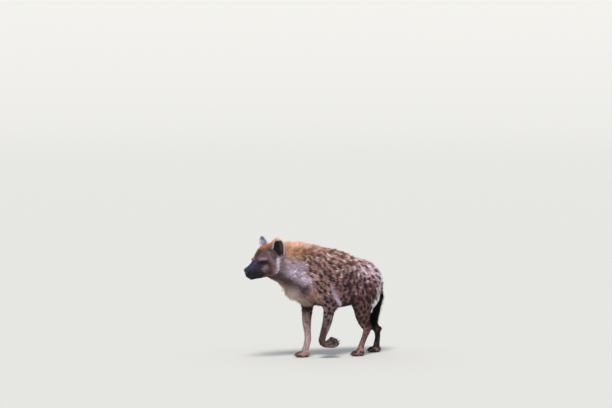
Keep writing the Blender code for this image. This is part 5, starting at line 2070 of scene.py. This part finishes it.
def hair_group():
    """Colour, Roughness and Height of a strand."""
    inputs = [
        ("Markings", "NodeSocketColor", (0.4, 0.3, 0.2, 1)),
        ("Along", "NodeSocketFloat", 0.5),
        ("Strand", "NodeSocketFloat", 0.5),
        ("Vector", "NodeSocketVector", None),
        ("Root shade", "NodeSocketFloat", 0.62),
        ("Tip shade", "NodeSocketFloat", 1.12),
    ]
    group, given, made = new_group("Hair of the coat", inputs, SURFACE_SOCKETS)
    # Darker at the root, as painted shade down in the coat, and lighter at the tip, as a painted highlight
    # on the hair's tips.
    span = math_node(group, "SUBTRACT", given.outputs["Tip shade"], given.outputs["Root shade"])
    rise = math_node(group, "MULTIPLY", given.outputs["Along"], span)
    shade = math_node(group, "ADD", given.outputs["Root shade"], rise)
    each = map_range(group, given.outputs["Strand"], 0, 1, 0.80, 1.22)
    fleck = map_range(group, noise(group, given.outputs["Vector"], 320), 0.3, 0.7, 0.86, 1.14)
    factor = math_node(group, "MULTIPLY", math_node(group, "MULTIPLY", shade, each), fleck)
    group.links.new(scale_colour(group, given.outputs["Markings"], factor), made.inputs["Color"])
    rough = map_range(group, given.outputs["Strand"], 0, 1, 0.48, 0.66)
    group.links.new(rough, made.inputs["Roughness"])
    group.links.new(noise(group, given.outputs["Vector"], 900, 2), made.inputs["Height"])
    return group


HAIR = hair_group()
print("hair group:", len(HAIR.nodes), "nodes")

# %% The skin group
BLACK_LEATHER = (0.011, 0.009, 0.012, 1)  # the nose, the lips and the pads


def skin_group():
    """Colour, Roughness and Height of skin, bare or under short coat."""
    inputs = [
        ("Markings", "NodeSocketColor", (0.4, 0.3, 0.2, 1)),
        ("Bare", "NodeSocketFloat", 0.0),
        ("Vector", "NodeSocketVector", None),
        ("Pore scale", "NodeSocketFloat", 900.0),
    ]
    group, given, made = new_group("Skin and its grain", inputs, SURFACE_SOCKETS)
    vector, bare = given.outputs["Vector"], given.outputs["Bare"]
    streaks = group.nodes.new("ShaderNodeMapping")
    streaks.inputs["Scale"].default_value = (0.25, 1.0, 0.45)
    group.links.new(vector, streaks.inputs["Vector"])
    hair = noise(group, streaks.outputs[0], 620, 5, 0.7)
    pores = group.nodes.new("ShaderNodeTexVoronoi")
    group.links.new(vector, pores.inputs["Vector"])
    group.links.new(given.outputs["Pore scale"], pores.inputs["Scale"])
    covered = map_range(group, hair, 0.3, 0.7, 0.62, 1.05)
    naked = map_range(group, pores.outputs["Distance"], 0.0, 0.7, 1.05, 0.75)
    mix = group.nodes.new("ShaderNodeMix")
    group.links.new(bare, mix.inputs[0])
    group.links.new(covered, mix.inputs[2])
    group.links.new(naked, mix.inputs[3])
    shaded = scale_colour(group, given.outputs["Markings"], mix.outputs[0])
    leather = group.nodes.new("ShaderNodeMix")
    leather.data_type = "RGBA"
    leather.inputs["B"].default_value = BLACK_LEATHER
    group.links.new(math_node(group, "MULTIPLY", bare, 0.85), leather.inputs[0])
    group.links.new(shaded, leather.inputs["A"])
    group.links.new(leather.outputs["Result"], made.inputs["Color"])
    group.links.new(map_range(group, bare, 0, 1, 0.72, 0.38), made.inputs["Roughness"])
    relief = group.nodes.new("ShaderNodeMix")
    group.links.new(bare, relief.inputs[0])
    group.links.new(hair, relief.inputs[2])
    group.links.new(pores.outputs["Distance"], relief.inputs[3])
    group.links.new(relief.outputs[0], made.inputs["Height"])
    return group


SKIN_GRAIN = skin_group()
print("skin group:", len(SKIN_GRAIN.nodes), "nodes")

# %% The materials
def attribute(tree, name, output):
    node = tree.nodes.new("ShaderNodeAttribute")
    node.attribute_name = name
    return node.outputs[output]


def material_of(name, group, feeds, values, bump):
    """A Principled material whose colour, roughness and bump a group gives."""
    material, tree, shader = new_material(name)
    node = tree.nodes.new("ShaderNodeGroup")
    node.node_tree = group
    tree.links.new(object_place(tree), node.inputs["Vector"])
    for label, (source, output) in feeds.items():
        tree.links.new(attribute(tree, source, output), node.inputs[label])
    for label, value in values.items():
        node.inputs[label].default_value = value
    tree.links.new(node.outputs["Color"], shader.inputs["Base Color"])
    tree.links.new(node.outputs["Roughness"], shader.inputs["Roughness"])
    relief = tree.nodes.new("ShaderNodeBump")
    relief.inputs["Strength"].default_value = bump
    relief.inputs["Distance"].default_value = 0.001
    tree.links.new(node.outputs["Height"], relief.inputs["Height"])
    tree.links.new(relief.outputs["Normal"], shader.inputs["Normal"])
    return material, shader


HAIR_FEEDS = {"Markings": ("markings", "Color"), "Along": ("along", "Fac"), "Strand": ("strand", "Fac")}
# Its root and tip shades paint shade down in the coat and highlights on the tips.
coat_hair, shader = material_of("coat_hair", HAIR, HAIR_FEEDS, {"Root shade": 0.70, "Tip shade": 1.38}, 0.15)
shader.inputs["Specular IOR Level"].default_value = 0.18
shader.inputs["Sheen Weight"].default_value = 0.05
brush_hair, shader = material_of("brush_hair", HAIR, HAIR_FEEDS, {"Root shade": 0.8, "Tip shade": 1.0}, 0.15)
shader.inputs["Specular IOR Level"].default_value = 0.15
SKIN_FEEDS = {"Markings": ("markings", "Color"), "Bare": ("bare", "Fac")}
hide, shader = material_of("hide", SKIN_GRAIN, SKIN_FEEDS, {"Pore scale": 900.0}, 0.6)
shader.inputs["Specular IOR Level"].default_value = 0.35
print("materials:", coat_hair.name, brush_hair.name, hide.name)

# %% [markdown]
# Eyes are the one wet surface. The colour comes from rings round the gaze, pupil,
# iris and the dark rim, with rays in the iris. Claws are dark horn with paler streaks.

# %% Eyes and claws
EYE_RINGS = (  # how far from the pupil's middle, in radii of the eye, and the colour there
    (0.32, (0.002, 0.002, 0.002)),
    (0.38, (0.050, 0.021, 0.009)),
    (0.60, (0.030, 0.013, 0.006)),
    (0.68, (0.004, 0.003, 0.003)),
    (0.85, (0.030, 0.022, 0.020)),
)
HORN_STREAKS = ((0.35, (0.018, 0.013, 0.011)), (0.72, (0.110, 0.080, 0.060)))


def eye_material():
    material, tree, shader = new_material("wet_eye")
    place = object_place(tree)
    split = tree.nodes.new("ShaderNodeSeparateXYZ")
    tree.links.new(place, split.inputs[0])
    squares = [math_node(tree, "MULTIPLY", split.outputs[i], split.outputs[i]) for i in (0, 1)]
    off_axis = math_node(tree, "SQRT", math_node(tree, "ADD", *squares))
    rings = colour_stops(tree, math_node(tree, "DIVIDE", off_axis, EYE_RADIUS), EYE_RINGS)
    rays = map_range(tree, noise(tree, place, 1400, 4, 0.7), 0.3, 0.7, 0.7, 1.3)
    tree.links.new(scale_colour(tree, rings, rays), shader.inputs["Base Color"])
    tree.links.new(map_range(tree, rays, 0.7, 1.3, 0.08, 0.16), shader.inputs["Roughness"])
    shader.inputs["Specular IOR Level"].default_value = 0.10
    shader.inputs["Coat Weight"].default_value = 0.12
    shader.inputs["Coat Roughness"].default_value = 0.03
    return material


def claw_material():
    material, tree, shader = new_material("horn")
    streaks = noise(tree, object_place(tree), 380, 4, 0.65)
    tree.links.new(colour_stops(tree, streaks, HORN_STREAKS), shader.inputs["Base Color"])
    tree.links.new(map_range(tree, streaks, 0.3, 0.7, 0.30, 0.50), shader.inputs["Roughness"])
    return material


WET_EYE, HORN = eye_material(), claw_material()
print("materials:", WET_EYE.name, HORN.name)

# %% [markdown]
# ## Dressing the frame
#
# Every piece is carried from the body's own frame to the shared one. The packed
# eyes say where that is, because they sit at the same named place in both. The skin
# then stands for all the solids of flesh, so no seam between them shows.

# %% Carry the pieces to the shared frame, and let them ride
paint(skin.data, "markings", markings(SKIN_POINTS, SKIN_NORMALS))
paint(skin.data, "bare", bareness(SKIN_POINTS, SKIN_NORMALS))


def settle(obj, material):
    obj.data.materials.clear()
    obj.data.materials.append(material)
    obj.data.polygons.foreach_set("use_smooth", np.ones(len(obj.data.polygons), bool))
    obj.matrix_world = Matrix.Translation(SHIFT) @ obj.matrix_world
    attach(obj, "root")


settle(skin, hide)
settle(claws, HORN)
for side, name in ((-1, "eye_left"), (1, "eye_right")):
    settle(eyes[side], WET_EYE)
    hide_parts(name)
for piece, slot_name in coat:
    settle(piece, brush_hair if slot_name == "brush" else coat_hair)
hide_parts(*[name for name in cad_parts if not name.startswith("eye_")])
print("shift to the shared frame:", [round(v, 5) for v in SHIFT])

# %% [markdown]
# ## Floor, light and camera
#
# A pale floor rises gently far away, so no horizon shows. The light is a soft sun
# from the upper left with a pale sky. The photograph was taken with a long lens from
# the animal's left front, a little above it, with the animal below the middle of
# the picture.

# %% Floor
FLOOR_FLAT, FLOOR_RIM, FLOOR_RISE = 42.0, 75.0, 11.0
FLOOR_RINGS = (2.0, 8.0, 20.0, FLOOR_FLAT, *np.linspace(FLOOR_FLAT + 3, FLOOR_RIM, 12))
FLOOR_COLOUR = (0.62, 0.61, 0.58, 1)


def make_floor():
    bm = bmesh.new()
    turn = np.linspace(0, 2 * math.pi, 128, endpoint=False)
    rings = []
    for radius in FLOOR_RINGS:
        beyond = max(radius - FLOOR_FLAT, 0) / (FLOOR_RIM - FLOOR_FLAT)
        height = FLOOR_RISE * beyond**2
        rings.append([bm.verts.new((radius * math.cos(a), radius * math.sin(a), height)) for a in turn])
    bm.faces.new(rings[0])
    for inner, outer in zip(rings, rings[1:]):
        for i in range(len(turn)):
            j = (i + 1) % len(turn)
            bm.faces.new((inner[i], outer[i], outer[j], inner[j]))
    bmesh.ops.recalc_face_normals(bm, faces=bm.faces)
    mesh = bpy.data.meshes.new("floor")
    bm.to_mesh(mesh)
    bm.free()
    floor = placed("floor", mesh)
    material, _, shader = new_material("pale_floor")
    shader.inputs["Base Color"].default_value = FLOOR_COLOUR
    shader.inputs["Roughness"].default_value = 0.9
    mesh.materials.append(material)
    for polygon in mesh.polygons:
        polygon.use_smooth = True
    floor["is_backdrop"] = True


make_floor()
print("the floor is flat for", FLOOR_FLAT, "m")

# %% Light
SKY_COLOUR, SKY_STRENGTH = (0.86, 0.92, 1.0, 1), 0.62
SUN_COLOUR, SUN_STRENGTH = (1.0, 0.97, 0.93), 3.0
SUN_SOFTNESS = math.radians(16)
TO_THE_SUN = Vector((-0.55, -0.62, 1.05))


def make_light():
    world = bpy.data.worlds.new("pale_sky")
    bpy.context.scene.world = world
    world.use_nodes = True
    background = world.node_tree.nodes["Background"]
    background.inputs["Color"].default_value = SKY_COLOUR
    background.inputs["Strength"].default_value = SKY_STRENGTH
    sun = bpy.data.lights.new("soft_sun", "SUN")
    sun.energy = SUN_STRENGTH
    sun.angle = SUN_SOFTNESS
    sun.color = SUN_COLOUR
    lamp = placed("soft_sun", sun)
    lamp.rotation_mode = "QUATERNION"
    lamp.rotation_quaternion = TO_THE_SUN.to_track_quat("Z", "Y")
    bpy.context.scene.view_settings.view_transform = "Standard"


make_light()
print("a soft sun and a pale sky")

# %% Camera
PICTURE = (612, 408)
PIXELS_PER_METRE = 135.0
VIEW_AZIMUTH, VIEW_ELEVATION = math.radians(-35), math.radians(3)
LENS, SENSOR = 200.0, 36.0
AIM = Vector((-0.0542, 0.0, 1.1517)) + SHIFT


def make_camera():
    data = bpy.data.cameras.new("camera")
    data.lens, data.sensor_width = LENS, SENSOR
    distance = PICTURE[0] / PIXELS_PER_METRE * LENS / SENSOR
    back = Vector((
        math.sin(VIEW_AZIMUTH) * math.cos(VIEW_ELEVATION),
        -math.cos(VIEW_AZIMUTH) * math.cos(VIEW_ELEVATION),
        math.sin(VIEW_ELEVATION),
    ))
    data.clip_start, data.clip_end = 1.0, 400.0
    camera = placed("camera", data)
    camera.location = AIM + back * distance
    camera.rotation_mode = "QUATERNION"
    camera.rotation_quaternion = (-back).to_track_quat("-Z", "Y")
    bpy.context.scene.camera = camera
    return distance


print("the camera is", round(make_camera(), 1), "m away")

# %% Sizes, and the end
visual_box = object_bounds()
for label, axis in (("long", 0), ("wide", 1), ("high", 2)):
    solid, visual = (box[1][axis] - box[0][axis] for box in (solid_box, visual_box))
    print(label, "solids", round(solid, 4), "dressed", round(visual, 4))
